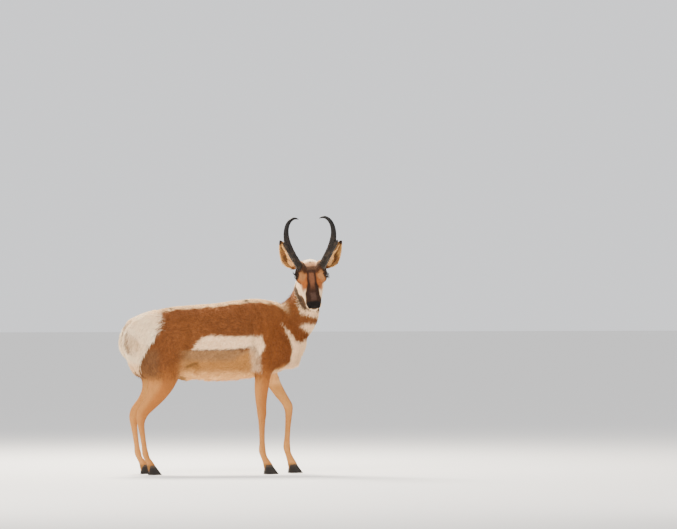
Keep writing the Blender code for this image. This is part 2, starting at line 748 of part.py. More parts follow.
def parted(skin):
    """The body skin parted by thin cuts into torso, rump, neck and the four legs."""
    regions = {
        "rump": [RUMP_PLANE, ((0, 0, HIND_LEG_TOP), (0, 0, 1))],
        "neck": [NECK_PLANE],
    }
    for side in (-1, 1):
        regions[f"leg_fore_{SIDES[side]}"] = leg_planes(side, 0.150, 0.560, FORELEG_TOP)
        regions[f"leg_hind_{SIDES[side]}"] = leg_planes(side, -0.600, -0.120, HIND_LEG_TOP)
    pieces = {}
    for name, planes in regions.items():
        piece = copied(skin, name)
        if name.startswith("leg"):
            planes = planes + [((0, 0, CORONET), (0, 0, 1))]
        combined(piece, [region("keep", planes, -GAP / 2)], "INTERSECT")
        pieces[name] = largest(piece)
    taken = [region("taken", planes, GAP / 2) for planes in regions.values()]
    skin.name = "torso"
    pieces["torso"] = largest(combined(skin, taken, "DIFFERENCE"))
    return pieces


def head_node():
    """The head with lids round its eye sockets, nostrils and the line of the mouth."""
    skin = fuse("head", [neck()] + head_forms(), HEAD_GRAIN, head_softness)
    thinned(skin, HEAD_SHARE)
    combined(skin, [region("keep", head_planes(), -GAP / 2)], "INTERSECT")
    largest(skin)
    combined(skin, [eye_bowl(side) for side in (-1, 1)], "DIFFERENCE", "MANIFOLD")
    combined(skin, [globe("lids", side, EYE_RADIUS + LID) for side in (-1, 1)], "UNION", "MANIFOLD")
    cutters = [mouth()]
    for side in (-1, 1):
        opening = eye_cone("eye_opening", side, *EYE_OPENING, 1.25, (0.15, 1.0, 2.2))
        cutters += [globe("socket", side, EYE_RADIUS + GAP), opening, nostril(side)]
    for cutter in cutters:
        combined(skin, [cutter], "DIFFERENCE", "MANIFOLD")
    return largest(skin)


def skin_tree(obj):
    bm = bmesh.new()
    bm.from_mesh(obj.data)
    tree = BVHTree.FromBMesh(bm)
    bm.free()
    return tree


def along_skin(way, out):
    """The part of a direction that lies in the skin."""
    return (Vector(way) - out * out.dot(Vector(way))).normalized()


def lock(tree, root, lie, size, sway):
    """One flat, tapered lock. It leaves the skin at its sunk root and bends over along the lie."""
    length, width, thick, lift = size
    shape = ((0.0, 0.70, 0.8), (0.25, 1.0, 1.0), (0.52, 0.90, 0.9), (0.78, 0.55, 0.6))
    spot, out = tree.find_nearest(root)[:2]
    rings = []
    last = 0.0
    for share, wide, deep in shape + ((1.0, 0, 0),):
        ahead = along_skin(lie(spot), out)
        across = ahead.cross(out)
        reach = (share - last) * length
        spot, out = tree.find_nearest(spot + (ahead + across * sway * share).normalized() * reach)[:2]
        last = share
        ahead = along_skin(lie(spot), out)
        across = ahead.cross(out)
        height = -LOCK_SINK + (LOCK_SINK + lift) * math.sin(share * math.pi / 2) ** 0.9
        middle = spot + out * height
        half, rise = across * width * wide / 2, out * thick * deep / 2
        if share < 1:
            rings.append([middle - half, middle + rise, middle + half, middle - rise])
        else:
            rings.append([middle])
    return lock_mesh(rings)


def lock_mesh(rings):
    bm = bmesh.new()
    rows = [[bm.verts.new(p) for p in ring] for ring in rings]
    for low, high in zip(rows, rows[1:]):
        for i in range(4):
            j = (i + 1) % 4
            if len(high) == 1:
                bm.faces.new((low[i], low[j], high[0]))
            else:
                bm.faces.new((low[i], low[j], high[j], high[i]))
    bm.faces.new(rows[0])
    bmesh.ops.recalc_face_normals(bm, faces=bm.faces)
    bmesh.ops.triangulate(bm, faces=bm.faces)
    return as_object("lock", bm)


def varied(size, dice, amount=0.14):
    return [value * (1 + amount * dice.uniform(-1, 1)) for value in size]


def distance(spot, plane):
    return (spot - Vector(plane[0])).dot(Vector(plane[1]).normalized())


def rump_lie(side):
    """The lie of the rump's hair: down and back, and outwards near the middle."""
    def way(at):
        parting = max(0, 1 - abs(at.y) / 0.05)
        return Vector((-0.42, side * (0.16 + 0.5 * parting), -1.0))
    return way


def steady(way):
    """The same lie everywhere."""
    return lambda at: way


def rump_locks(rump):
    """Rows of long hair, shingled down and back over the rump on each side of the tail."""
    dice = random.Random(11)
    tree = skin_tree(rump)
    centre = Vector((-0.315, 0, 0.690))
    locks = []
    for side in (-1, 1):
        for row, rise in enumerate(RUMP_ROWS):
            tilt = math.radians(rise)
            step = RUMP_STEP / math.cos(tilt)
            turn = 18 + step * (0.5 if row % 2 else 0.0)
            while turn < 150:
                angle = math.radians(turn + dice.uniform(-2, 2))
                level = Vector((-math.cos(angle), side * math.sin(angle), 0)) * math.cos(tilt)
                way = level + Vector((0, 0, math.sin(tilt)))
                spot = tree.ray_cast(centre + way * 0.30, -way)[0]
                turn += step
                if spot is None or distance(spot, RUMP_PLANE) < 0.016:
                    continue
                if abs(spot.y) < TAIL_ROOM or spot.z < LOWEST_RUMP_LOCK:
                    continue
                size = varied(RUMP_LOCK, dice)
                locks.append(lock(tree, spot, rump_lie(side), size, dice.uniform(-0.16, 0.16)))
    return locks


def nape_locks(nape):
    """A short mane in two rows along the back of the neck."""
    dice = random.Random(23)
    tree = skin_tree(nape)
    rows = between([(*place, heading, half, back, front) for place, heading, half, back, front in NECK], 6)
    centres = [Vector(row[:3]) for row in rows]
    locks = []
    for index, (centre, ahead, row) in enumerate(zip(centres, tangents(centres), rows)):
        heading = math.radians(row[3])
        side = Vector((-math.sin(heading), math.cos(heading), 0))
        side = (side - ahead * side.dot(ahead)).normalized()
        for turn in (-1, 1):
            if (index + (turn > 0)) % 3:
                continue
            root = centre + ahead.cross(side) * row[5] + side * turn * NAPE_PARTING
            root = tree.find_nearest(root)[0]
            reach = [distance(root, plane) for plane in head_planes()]
            if distance(root, NECK_PLANE) < NAPE_LOCK[0] * 1.15 + 0.012 or min(reach) > -0.014:
                continue
            size = varied(NAPE_LOCK, dice)
            locks.append(lock(tree, root, steady(-ahead), size, dice.uniform(-0.12, 0.12)))
    return locks


def tail_locks(dock):
    """Longer hair over the back of the tail and at its end."""
    dice = random.Random(31)
    tree = skin_tree(dock)
    locks = []
    for level, spreads in TAIL_ROWS:
        for spread in spreads:
            root = tree.ray_cast(Vector((-0.60, spread, level)), Vector((1, 0, 0)))[0]
            way = Vector((-0.15, 0.2 * spread, -1.0))
            size = varied(TAIL_LOCK, dice)
            locks.append(lock(tree, root, steady(way), size, dice.uniform(-0.10, 0.10)))
    return locks


PAINT = {
    "torso": ((0.36, 0.17, 0.075), 0.85),
    "rump": ((0.80, 0.72, 0.58), 0.90),
    "neck": ((0.40, 0.20, 0.09), 0.85),
    "head": ((0.30, 0.16, 0.09), 0.85),
    "tail": ((0.62, 0.48, 0.32), 0.90),
    "leg": ((0.50, 0.30, 0.16), 0.85),
    "ear": ((0.40, 0.26, 0.16), 0.85),
    "horn": ((0.030, 0.022, 0.018), 0.60),
    "eye": ((0.012, 0.008, 0.006), 0.08),
    "hoof": ((0.020, 0.017, 0.015), 0.50),
}


def painted(obj):
    """Gives a part its own material."""
    colour, rough = PAINT[obj.name.split("_")[0]]
    paint = bpy.data.materials.new(f"{obj.name}_surface")
    paint.use_nodes = True
    shader = paint.node_tree.nodes["Principled BSDF"]
    shader.inputs["Base Color"].default_value = (*colour, 1)
    shader.inputs["Roughness"].default_value = rough
    paint.diffuse_color = (*colour, 1)
    obj.data.materials.clear()
    obj.data.materials.append(paint)


def placed(parts):
    """Moves the whole model so that the middle of its box stands over the origin."""
    spots = np.array([vert.co for part in parts for vert in part.data.vertices])
    low, high = spots.min(0), spots.max(0)
    move = Matrix.Translation((-(low[0] + high[0]) / 2, -(low[1] + high[1]) / 2, -low[2]))
    for part in parts:
        part.data.transform(move)


def main():
    global workshop
    for obj in list(bpy.data.objects):
        bpy.data.objects.remove(obj)
    workshop = bpy.data.collections.new("workshop")
    bpy.context.scene.collection.children.link(workshop)

    skin = thinned(fuse("body", body_forms() + head_forms(), BODY_GRAIN, body_softness), BODY_SHARE)
    pieces = parted(skin)
    head = head_node()
    combined(pieces["neck"], [region("taken", head_planes(), GAP / 2)], "DIFFERENCE")
    largest(pieces["neck"])
    parts = list(pieces.values()) + [head]

    for side in (-1, 1):
        for outgrowth in (horn(side), ear(side)):
            combined(outgrowth, [inflated(head, "seat", GAP)], "DIFFERENCE")
            parts.append(largest(outgrowth))
        parts.append(largest(globe(f"eye_{SIDES[side]}", side, EYE_RADIUS)))
    dock = leg("tail", TAIL, 0, 0, 1, 0, 2, 10)
    combined(dock, [inflated(pieces["rump"], "seat", GAP)], "DIFFERENCE")
    parts.append(largest(dock))
    for coat, locks in ((pieces["rump"], rump_locks), (pieces["neck"], nape_locks), (dock, tail_locks)):
        combined(coat, locks(coat), "UNION", "MANIFOLD")
        largest(coat)
    parts += claws("hoof_fore_right", 0.300, -FORELEG_TRACK[0], FORE_CLAWS)
    parts += claws("hoof_fore_left", 0.456, FORELEG_TRACK[1], FORE_CLAWS)
    parts += claws("hoof_hind_right", -0.303, -HIND_LEG_TRACK[0], HIND_CLAWS)
    parts += claws("hoof_hind_left", -0.303 + HIND_LEFT_STEP, HIND_LEG_TRACK[1], HIND_CLAWS)

    placed(parts)
    buck = bpy.data.collections.new("pronghorn_buck")
    bpy.context.scene.collection.children.link(buck)
    for part in parts:
        workshop.objects.unlink(part)
        buck.objects.link(part)
        painted(part)
    for obj in list(workshop.objects):
        bpy.data.objects.remove(obj)
    bpy.data.collections.remove(workshop)


main()
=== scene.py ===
import math

import bmesh
import bpy
import numpy as np
from mathutils import Matrix, Vector
from mathutils.bvhtree import BVHTree


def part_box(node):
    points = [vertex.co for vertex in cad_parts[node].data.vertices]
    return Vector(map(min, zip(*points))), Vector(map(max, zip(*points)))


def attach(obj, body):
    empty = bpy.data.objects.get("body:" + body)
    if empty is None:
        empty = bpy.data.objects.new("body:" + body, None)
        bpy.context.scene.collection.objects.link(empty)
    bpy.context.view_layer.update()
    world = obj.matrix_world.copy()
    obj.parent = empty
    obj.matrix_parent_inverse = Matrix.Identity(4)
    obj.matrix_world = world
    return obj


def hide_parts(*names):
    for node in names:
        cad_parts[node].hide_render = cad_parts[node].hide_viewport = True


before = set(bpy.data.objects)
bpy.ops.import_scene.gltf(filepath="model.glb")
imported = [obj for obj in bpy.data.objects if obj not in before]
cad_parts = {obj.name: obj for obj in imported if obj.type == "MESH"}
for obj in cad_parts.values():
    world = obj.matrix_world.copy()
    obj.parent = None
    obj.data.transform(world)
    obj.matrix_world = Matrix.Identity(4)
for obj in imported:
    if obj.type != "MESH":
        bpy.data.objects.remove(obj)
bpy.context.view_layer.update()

# The body's measures are those of the part's source, in its own frame: metres, +Z up, +X to the
# chest
# Size of the remeshing cells of skin and horns, and the number of triangles that the skin is
# thinned to
GRAIN = 0.0024
HORN_GRAIN = 0.0011
HORN_SOFTNESS = 0.0022
SKIN_TRIANGLES = 190000

# Trunk sections along x: x, underside, topline, half width, height of the widest level, shift to
# the left
TRUNK = [
    (-0.440, 0.622, 0.746, 0.054, 0.55, 0.0),
    (-0.420, 0.572, 0.780, 0.086, 0.55, 0.0),
    (-0.378, 0.540, 0.811, 0.104, 0.58, 0.0),
    (-0.290, 0.520, 0.840, 0.114, 0.60, 0.0),
    (-0.190, 0.500, 0.860, 0.118, 0.55, 0.0),
    (-0.090, 0.484, 0.868, 0.130, 0.48, 0.0),
    (0.010, 0.477, 0.875, 0.141, 0.45, 0.0),
    (0.110, 0.479, 0.888, 0.140, 0.45, 0.0),
    (0.200, 0.487, 0.899, 0.128, 0.44, 0.0),
    (0.280, 0.498, 0.896, 0.110, 0.42, -0.002),
    (0.350, 0.514, 0.880, 0.098, 0.42, -0.005),
    (0.410, 0.542, 0.835, 0.084, 0.42, -0.009),
    (0.458, 0.585, 0.790, 0.066, 0.45, -0.012),
    (0.488, 0.618, 0.745, 0.048, 0.50, -0.014),
    (0.502, 0.655, 0.705, 0.022, 0.50, -0.014),
]
TRUNK_SQUARE = 2.15
# Neck sections from the chest up: centre, heading in degrees, half width, nape and throat reach
NECK = [
    ((0.310, 0.000, 0.720), 0, 0.086, 0.140, 0.125),
    ((0.375, 0.000, 0.752), -3, 0.082, 0.118, 0.126),
    ((0.432, -0.006, 0.795), -14, 0.076, 0.098, 0.124),
    ((0.473, -0.014, 0.855), -34, 0.069, 0.084, 0.108),
    ((0.495, -0.022, 0.920), -58, 0.063, 0.074, 0.078),
    ((0.504, -0.030, 0.985), -80, 0.058, 0.067, 0.056),
    ((0.507, -0.040, 1.035), -93, 0.050, 0.056, 0.046),
    ((0.506, -0.062, 1.062), -95, 0.040, 0.044, 0.036),
]
# The head's own frame runs u to the nose, v to the left and w up, from the back of the skull
EYES_MIDDLE = Vector((0.499, -0.140, 1.017))
HEAD_HEADING = -98
HEAD_PITCH = 44
HEAD_ROLL = 3
HEAD_SCALE = 1.06
EYE = (0.110, 0.0608, 0.045)
EYE_RADIUS = 0.0190
EYE_COUNT = (48, 32)
LID = 0.0030
# The way the eye looks, in the head's frame, and half the length and height of the opening between
# the lids
GAZE = (0.27, 0.95, 0.15)
EYE_OPENING = (0.0185, 0.0122)
EYE_SLANT = -16
UPPER_LASHES, LOWER_LASHES = 46, 18
UPPER_LASH, LOWER_LASH = 0.0200, 0.0070
# Skull and muzzle sections: u, lower and upper profile, half width, squareness
SKULL = [
    (-0.004, -0.018, 0.046, 0.034, 2.0),
    (0.012, -0.030, 0.064, 0.048, 2.0),
    (0.035, -0.034, 0.077, 0.056, 2.0),
    (0.065, -0.034, 0.084, 0.060, 2.1),
    (0.095, -0.030, 0.084, 0.062, 2.2),
    (0.120, -0.026, 0.078, 0.060, 2.2),
    (0.150, -0.020, 0.067, 0.053, 2.1),
    (0.180, -0.014, 0.056, 0.0465, 2.1),
    (0.210, -0.010, 0.046, 0.0420, 2.2),
    (0.240, -0.009, 0.038, 0.0395, 2.3),
    (0.262, -0.009, 0.031, 0.0375, 2.4),
    (0.280, -0.008, 0.023, 0.0330, 2.4),
    (0.292, -0.004, 0.012, 0.0210, 2.2),
]
# Lower jaw sections: u, lower and upper profile, half width
JAW = [
    (0.022, -0.050, 0.000, 0.038),
    (0.050, -0.066, 0.005, 0.053),
    (0.085, -0.068, 0.000, 0.060),
    (0.120, -0.062, -0.004, 0.058),
    (0.155, -0.053, -0.008, 0.052),
    (0.190, -0.044, -0.010, 0.044),
    (0.225, -0.037, -0.011, 0.0370),
    (0.255, -0.032, -0.012, 0.0320),
    (0.272, -0.027, -0.012, 0.0280),
    (0.281, -0.020, -0.014, 0.0140),
]
# The flesh between skull and jaw: u, lower and upper profile, half width
CHEEK_WALL = [
    (0.030, -0.055, 0.025, 0.042),
    (0.080, -0.054, 0.025, 0.062),
    (0.120, -0.048, 0.022, 0.062),
    (0.160, -0.040, 0.017, 0.0540),
    (0.200, -0.033, 0.011, 0.0460),
    (0.235, -0.028, 0.008, 0.0400),
    (0.262, -0.023, 0.006, 0.0340),
    (0.276, -0.017, 0.002, 0.0240),
]
# Leg sections from the top down: x, z, half width, reach to the front, reach to the rear
FORELEG = [
    (0.300, 0.700, 0.030, 0.060, 0.060),
    (0.290, 0.620, 0.042, 0.066, 0.066),
    (0.272, 0.550, 0.040, 0.054, 0.056),
    (0.262, 0.500, 0.033, 0.044, 0.046),
    (0.257, 0.440, 0.028, 0.036, 0.040),
    (0.254, 0.380, 0.0235, 0.030, 0.033),
    (0.254, 0.335, 0.0225, 0.027, 0.026),
    (0.255, 0.305, 0.0230, 0.026, 0.024),
    (0.256, 0.275, 0.0185, 0.020, 0.020),
    (0.257, 0.220, 0.0145, 0.0155, 0.0175),
    (0.258, 0.160, 0.0140, 0.0145, 0.0170),
    (0.259, 0.120, 0.0175, 0.0180, 0.0210),
    (0.266, 0.090, 0.0155, 0.0165, 0.0175),
    (0.277, 0.064, 0.0190, 0.0205, 0.0190),
    (0.287, 0.038, 0.0235, 0.0270, 0.0240),
    (0.292, 0.020, 0.0235, 0.0270, 0.0240),
]
STEPPING_FORELEG = [
    (0.315, 0.700, 0.030, 0.060, 0.060),
    (0.318, 0.620, 0.042, 0.064, 0.064),
    (0.318, 0.555, 0.040, 0.050, 0.054),
    (0.330, 0.505, 0.033, 0.041, 0.044),
    (0.352, 0.455, 0.028, 0.034, 0.037),
    (0.382, 0.405, 0.0235, 0.028, 0.030),
    (0.407, 0.368, 0.0225, 0.025, 0.025),
    (0.420, 0.340, 0.0230, 0.026, 0.024),
    (0.423, 0.308, 0.0185, 0.021, 0.020),
    (0.421, 0.250, 0.0145, 0.0155, 0.0175),
    (0.417, 0.185, 0.0140, 0.0145, 0.0170),
    (0.415, 0.135, 0.0175, 0.0180, 0.0210),
    (0.421, 0.102, 0.0155, 0.0165, 0.0175),
    (0.432, 0.070, 0.0190, 0.0205, 0.0190),
    (0.443, 0.040, 0.0235, 0.0270, 0.0240),
    (0.448, 0.020, 0.0235, 0.0270, 0.0240),
]
HIND_LEG = [
    (-0.280, 0.800, 0.034, 0.090, 0.100),
    (-0.272, 0.730, 0.050, 0.128, 0.138),
    (-0.262, 0.660, 0.057, 0.140, 0.166),
    (-0.252, 0.590, 0.055, 0.126, 0.166),
    (-0.248, 0.530, 0.047, 0.092, 0.142),
    (-0.262, 0.470, 0.038, 0.070, 0.094),
    (-0.289, 0.415, 0.030, 0.054, 0.053),
    (-0.325, 0.366, 0.0235, 0.042, 0.036),
    (-0.357, 0.328, 0.0215, 0.036, 0.032),
    (-0.370, 0.292, 0.0205, 0.029, 0.028),
    (-0.370, 0.255, 0.0165, 0.0195, 0.0210),
    (-0.362, 0.200, 0.0135, 0.0155, 0.0175),
    (-0.354, 0.145, 0.0135, 0.0150, 0.0170),
    (-0.348, 0.108, 0.0170, 0.0180, 0.0205),
    (-0.339, 0.082, 0.0150, 0.0165, 0.0175),
    (-0.327, 0.060, 0.0185, 0.0200, 0.0185),
    (-0.318, 0.036, 0.0228, 0.0255, 0.0230),
    (-0.312, 0.020, 0.0228, 0.0255, 0.0230),
]
FORELEG_TRACK = (0.078, 0.066)
HIND_LEG_TRACK = (0.078, 0.080)
HIND_LEFT_STEP = -0.012
CORONET = 0.044
# Claws: length, width of one claw, half the distance between the two
FORE_CLAWS = (0.076, 0.0235, 0.0132)
HIND_CLAWS = (0.070, 0.0220, 0.0126)
# The claw's wall from the floor up: height, share of the full outline
CLAW_LEVELS = [
    (0.0, 0.935), (0.0012, 0.968), (0.0040, 0.985), (0.008, 1.0), (0.014, 0.99), (0.020, 0.965),
    (0.026, 0.94), (0.032, 0.91), (0.038, 0.87), (CORONET - 0.003, 0.83), (CORONET + 0.004, 0.62),
]
CLAW_POINTS = 36
TOE_SLOPE = 0.74
HEEL_SLOPE = 0.12
# Horn line from its foot: outwards, forwards, upwards, half width, half depth
HORN_FOOT = (0.090, 0.0570, 0.090)
HORN = [
    (-0.008, -0.014, -0.030, 0.0175, 0.0270),
    (0.000, 0.000, 0.000, 0.0182, 0.0290),
    (0.0185, 0.014, 0.034, 0.0182, 0.0300),
    (0.0380, 0.028, 0.070, 0.0184, 0.0295),
    (0.0520, 0.040, 0.106, 0.0178, 0.0250),
    (0.0590, 0.048, 0.140, 0.0152, 0.0175),
    (0.0605, 0.053, 0.174, 0.0130, 0.0138),
    (0.0540, 0.053, 0.206, 0.0114, 0.0114),
    (0.0400, 0.049, 0.230, 0.0096, 0.0094),
    (0.0210, 0.043, 0.2430, 0.0074, 0.0072),
    (0.0040, 0.038, 0.2430, 0.0050, 0.0048),
    (-0.0090, 0.035, 0.2380, 0.0013, 0.0013),
]
PRONG = [
    (0.0380, 0.022, 0.062, 0.0125, 0.0190),
    (0.0490, 0.041, 0.083, 0.0130, 0.0205),
    (0.0610, 0.060, 0.100, 0.0118, 0.0165),
    (0.0715, 0.074, 0.113, 0.0086, 0.0098),
    (0.0790, 0.081, 0.126, 0.0014, 0.0018),
]
# Ear sections from root to tip: share of the length, half width, half angle of the cup in degrees
EAR_ROOT = (0.048, 0.0600, 0.040)
EAR_LENGTH = 0.166
EAR_OUT = {-1: 30, 1: 40}
EAR_BACK = 6
EAR_TURN = 25
EAR_SWAY = 0.0070
EAR_WALL = 0.0030
EAR_BOW = 0.010
EAR_RIB = 0.0009
EAR_REACH = 0.052
EAR = [
    (0.00, 0.0150, 140),
    (0.10, 0.0225, 114),
    (0.22, 0.0340, 90),
    (0.38, 0.0415, 74),
    (0.55, 0.0390, 64),
    (0.72, 0.0300, 56),
    (0.87, 0.0170, 50),
    (0.97, 0.0060, 45),
    (1.00, 0.0025, 40),
]
# Tail sections from the root down: x, z, half width, reach to the front, reach to the rear
TAIL = [
    (-0.387, 0.792, 0.0170, 0.012, 0.012),
    (-0.413, 0.783, 0.0190, 0.011, 0.012),
    (-0.434, 0.760, 0.0200, 0.010, 0.012),
    (-0.445, 0.729, 0.0200, 0.009, 0.011),
    (-0.450, 0.697, 0.0180, 0.008, 0.010),
    (-0.452, 0.669, 0.0130, 0.006, 0.007),
    (-0.451, 0.645, 0.0030, 0.002, 0.002),
]
SIDES = {1: "left", -1: "right"}


def between(rows, steps):
    """Rows of numbers drawn out into a smooth series, steps for each stretch (a Catmull-Rom
    curve).
    """
    rows = np.array(rows, float)
    padded = np.vstack([2 * rows[0] - rows[1], rows, 2 * rows[-1] - rows[-2]])
    out = []
    for a, b, c, d in zip(padded, padded[1:], padded[2:], padded[3:]):
        for step in range(steps):
            t = step / steps
            out.append(
                0.5 * (2 * b + (c - a) * t + (2 * a - 5 * b + 4 * c - d) * t * t
                       + (3 * b - a - 3 * c + d) * t ** 3)
            )
    out.append(rows[-1])
    return np.array(out)


def local_to(matrix, spots):
    """Points in the frame that a matrix places."""
    turn = np.array(matrix.inverted())
    return spots @ turn[:3, :3].T + turn[:3, 3]


def distance(spots, place):
    return np.linalg.norm(spots - np.array(place), axis=1)


def filled(colour, count):
    """One colour for each of a number of points."""
    return np.tile(np.array(colour), (count, 1))


def section(centre, side, up, half, rise, drop, square, count):
    """The points of one closed section: a superellipse, half wide, rise above its centre and
    drop below.
    """
    points = []
    for i in range(count):
        angle = 2 * math.pi * i / count
        c, s = math.cos(angle), math.sin(angle)
        across = half * math.copysign(abs(c) ** (2 / square), c)
        along = (rise if s > 0 else drop) * math.copysign(abs(s) ** (2 / square), s)
        points.append(centre + side * across + up * along)
    return points


def loft(name, rings):
    """A closed mesh object through rings of points, with a flat cap at each end."""
    bm = bmesh.new()
    rows = [[bm.verts.new(p) for p in ring] for ring in rings]
    for low, high in zip(rows, rows[1:]):
        for i in range(len(low)):
            j = (i + 1) % len(low)
            bm.faces.new((low[i], low[j], high[j], high[i]))
    bm.faces.new(rows[0])
    bm.faces.new(rows[-1])
    bmesh.ops.recalc_face_normals(bm, faces=bm.faces)
    return as_object(name, bm)


def as_object(name, bm):
    mesh = bpy.data.meshes.new(name)
    bm.to_mesh(mesh)
    bm.free()
    made = bpy.data.objects.new(name, mesh)
    workshop.objects.link(made)
    return made


def tangents(centres):
    ends = [centres[0]] + list(centres) + [centres[-1]]
    return [(b - a).normalized() for a, b in zip(ends, ends[2:])]


def trunk():
    rings = []
    for x, low, high, half, level, shift in between(TRUNK, 3):
        middle = low + (high - low) * level
        centre = Vector((x, shift, middle))
        rings.append(
            section(centre, Vector((0, 1, 0)), Vector((0, 0, 1)), half, high - middle, middle - low,
                    TRUNK_SQUARE, 40)
        )
    return loft("trunk", rings)


def neck():
    rows = between(
        [(*place, heading, half, nape, throat) for place, heading, half, nape, throat in NECK], 4
    )
    centres = [Vector(row[:3]) for row in rows]
    rings = []
    for centre, ahead, row in zip(centres, tangents(centres), rows):
        heading = math.radians(row[3])
        side = Vector((-math.sin(heading), math.cos(heading), 0))
        side = (side - ahead * side.dot(ahead)).normalized()
        rings.append(section(centre, side, ahead.cross(side), row[4], row[5], row[6], 2.1, 32))
    return loft("neck_form", rings)


def leg(name, rows, track_top, track_foot, side, shift=0.0, steps=3, count=20):
    """One leg. It stands track_top from the middle plane at the body and track_foot at the hoof."""
    rows = between(rows, steps)
    highest, lowest = rows[0][1], rows[-1][1]
    centres = []
    for x, z, *_ in rows:
        share = min(1.0, (highest - z) / (highest - lowest))
        down = min(1.0, share * 1.6)
        centres.append(Vector((x + shift * down,
                               side * (track_top + (track_foot - track_top) * share), z)))
    rings = []
    for centre, ahead, row in zip(centres, tangents(centres), rows):
        across = Vector((0, 1, 0))
        across = (across - ahead * across.dot(ahead)).normalized()
        rings.append(section(centre, across, ahead.cross(across), row[2], row[3], row[4], 2.1,
                             count))
    return loft(name, rings)


def facing():
    """The turn of the head about the vertical, with its slight lean to the animal's right."""
    heading = Matrix.Rotation(math.radians(HEAD_HEADING), 4, "Z")
    return heading @ Matrix.Rotation(math.radians(HEAD_ROLL), 4, "X")


def head_matrix():
    """Places the head's frame, so that the middle between the eyes is where the photo has it."""
    turn = (facing() @ Matrix.Rotation(math.radians(HEAD_PITCH), 4, "Y")
            @ Matrix.Scale(HEAD_SCALE, 4))
    return Matrix.Translation(EYES_MIDDLE - turn @ Vector((EYE[0], 0, EYE[2]))) @ turn


def on_head(u, v, w):
    return head_matrix() @ Vector((u, v, w))


def ball(name, centre, radii, tilt=0.0, count=(24, 16)):
    """An ellipsoid, turned by tilt degrees about +Y."""
    bm = bmesh.new()
    bmesh.ops.create_uvsphere(bm, u_segments=count[0], v_segments=count[1], radius=1)
    turn = Matrix.Rotation(math.radians(tilt), 4, "Y")
    bm.transform(Matrix.Translation(centre) @ turn @ Matrix.Diagonal((*radii, 1)))
    return as_object(name, bm)


def profile_loft(name, rows, count):
    """A loft in the head's frame, along u."""
    rings = []
    for u, low, high, half, square in between(rows, 3):
        middle = low + (high - low) * 0.42
        rings.append(
            section(Vector((u, 0, middle)), Vector((0, 1, 0)), Vector((0, 0, 1)), half,
                    high - middle,
                    middle - low, square, count)
        )
    return loft(name, rings)


def head_forms():
    """The head's masses: skull with muzzle, lower jaw, cheeks, brows, horn feet, lips and nose
    wings.
    """
    forms = [profile_loft("skull", SKULL, 32)]
    for name, rows in (("jaw", JAW), ("cheek_wall", CHEEK_WALL)):
        forms.append(profile_loft(name, [(*row, 2.2) for row in rows], 24))
    for side in (-1, 1):
        u, v, w = EYE
        forms += [
            ball("cheek", (0.078, side * 0.040, -0.014), (0.062, 0.024, 0.048), 10),
            ball("orbit", (u - 0.002, side * (v - 0.0075), w + 0.001), (0.046, 0.0275, 0.033), 12),
            ball("temple", (u - 0.044, side * 0.047, w - 0.004), (0.040, 0.020, 0.036), 0),
            ball("cheek_ridge", (u + 0.014, side * 0.040, w - 0.032), (0.062, 0.016, 0.024), 16),
            ball("horn_foot",
                 (HORN_FOOT[0] - 0.004, side * (HORN_FOOT[1] - 0.009), HORN_FOOT[2] - 0.018),
                 (0.044, 0.026, 0.034), -10),
            ball("ear_root", (0.044, side * 0.054, 0.034), (0.020, 0.014, 0.022), 10),
            ball("upper_lip", (0.264, side * 0.0205, -0.001), (0.028, 0.0185, 0.0155), 0),
            ball("nose_wing", (0.280, side * 0.0185, 0.013), (0.014, 0.0130, 0.0115), 20),
        ]
    forms.append(ball("chin", (0.268, 0, -0.025), (0.019, 0.021, 0.012)))
    for form in forms:
        form.data.transform(head_matrix())
    return forms


def body_forms():
    forms = [trunk(), neck()]
    forms.append(leg("fore_right", FORELEG, 0.060, FORELEG_TRACK[0], -1))
    forms.append(leg("fore_left", STEPPING_FORELEG, 0.060, FORELEG_TRACK[1], 1))
    forms.append(leg("hind_right", HIND_LEG, 0.056, HIND_LEG_TRACK[0], -1))
    forms.append(leg("hind_left", HIND_LEG, 0.056, HIND_LEG_TRACK[1], 1, HIND_LEFT_STEP))
    for side in (-1, 1):
        forms += [
            ball("shoulder", (0.285, side * 0.070, 0.700), (0.082, 0.040, 0.155), -14),
            ball("point_of_shoulder", (0.392, side * 0.062, 0.640), (0.060, 0.034, 0.055), 20),
            ball("rib_cage", (0.060, side * 0.050, 0.670), (0.220, 0.088, 0.160)),
            ball("buttock", (-0.404, side * 0.054, 0.684), (0.062, 0.044, 0.098), 8),
            ball("ham", (-0.348, side * 0.064, 0.580), (0.070, 0.040, 0.100), -22),
            ball("flank_fold", (-0.150, side * 0.090, 0.560), (0.070, 0.020, 0.060), 40),
        ]
    forms.append(ball("brisket", (0.415, -0.010, 0.590), (0.060, 0.045, 0.060), 20))
    forms.append(ball("sheath", (-0.135, 0, 0.487), (0.042, 0.011, 0.014), 8))
    return forms


def fuse(name, forms, voxel, even):
    """Overlapping closed forms made one skin, smoothed over the length that even gives at each
    point.
    """
    whole = bmesh.new()
    for form in forms:
        whole.from_mesh(form.data)
        bpy.data.objects.remove(form)
    skin = as_object(name, whole)
    remesh = skin.modifiers.new("fuse", "REMESH")
    remesh.mode = "VOXEL"
    remesh.voxel_size = voxel
    settle(skin)
    spots, ends = places(skin.data), edge_ends(skin.data)
    valence = np.bincount(ends[:, 0], minlength=len(spots))[:, None]
    rounds = 2 * (even(spots) / voxel) ** 2
    for turn in range(math.ceil(rounds.max())):
        pull = 0.5 * np.clip(rounds - turn, 0, 1)[:, None]
        spots += pull * (neighbour_sum(spots, ends) / valence - spots)
    put(skin.data, spots)
    return skin


def body_softness(spots):
    """The smoothing length of the body: broad on the trunk, small on the legs."""
    share = (np.clip((spots[:, 2] - 0.44) / 0.12, 0, 1)
             * np.clip((0.98 - spots[:, 2]) / 0.10, 0.4, 1))
    return 0.006 + 0.010 * share


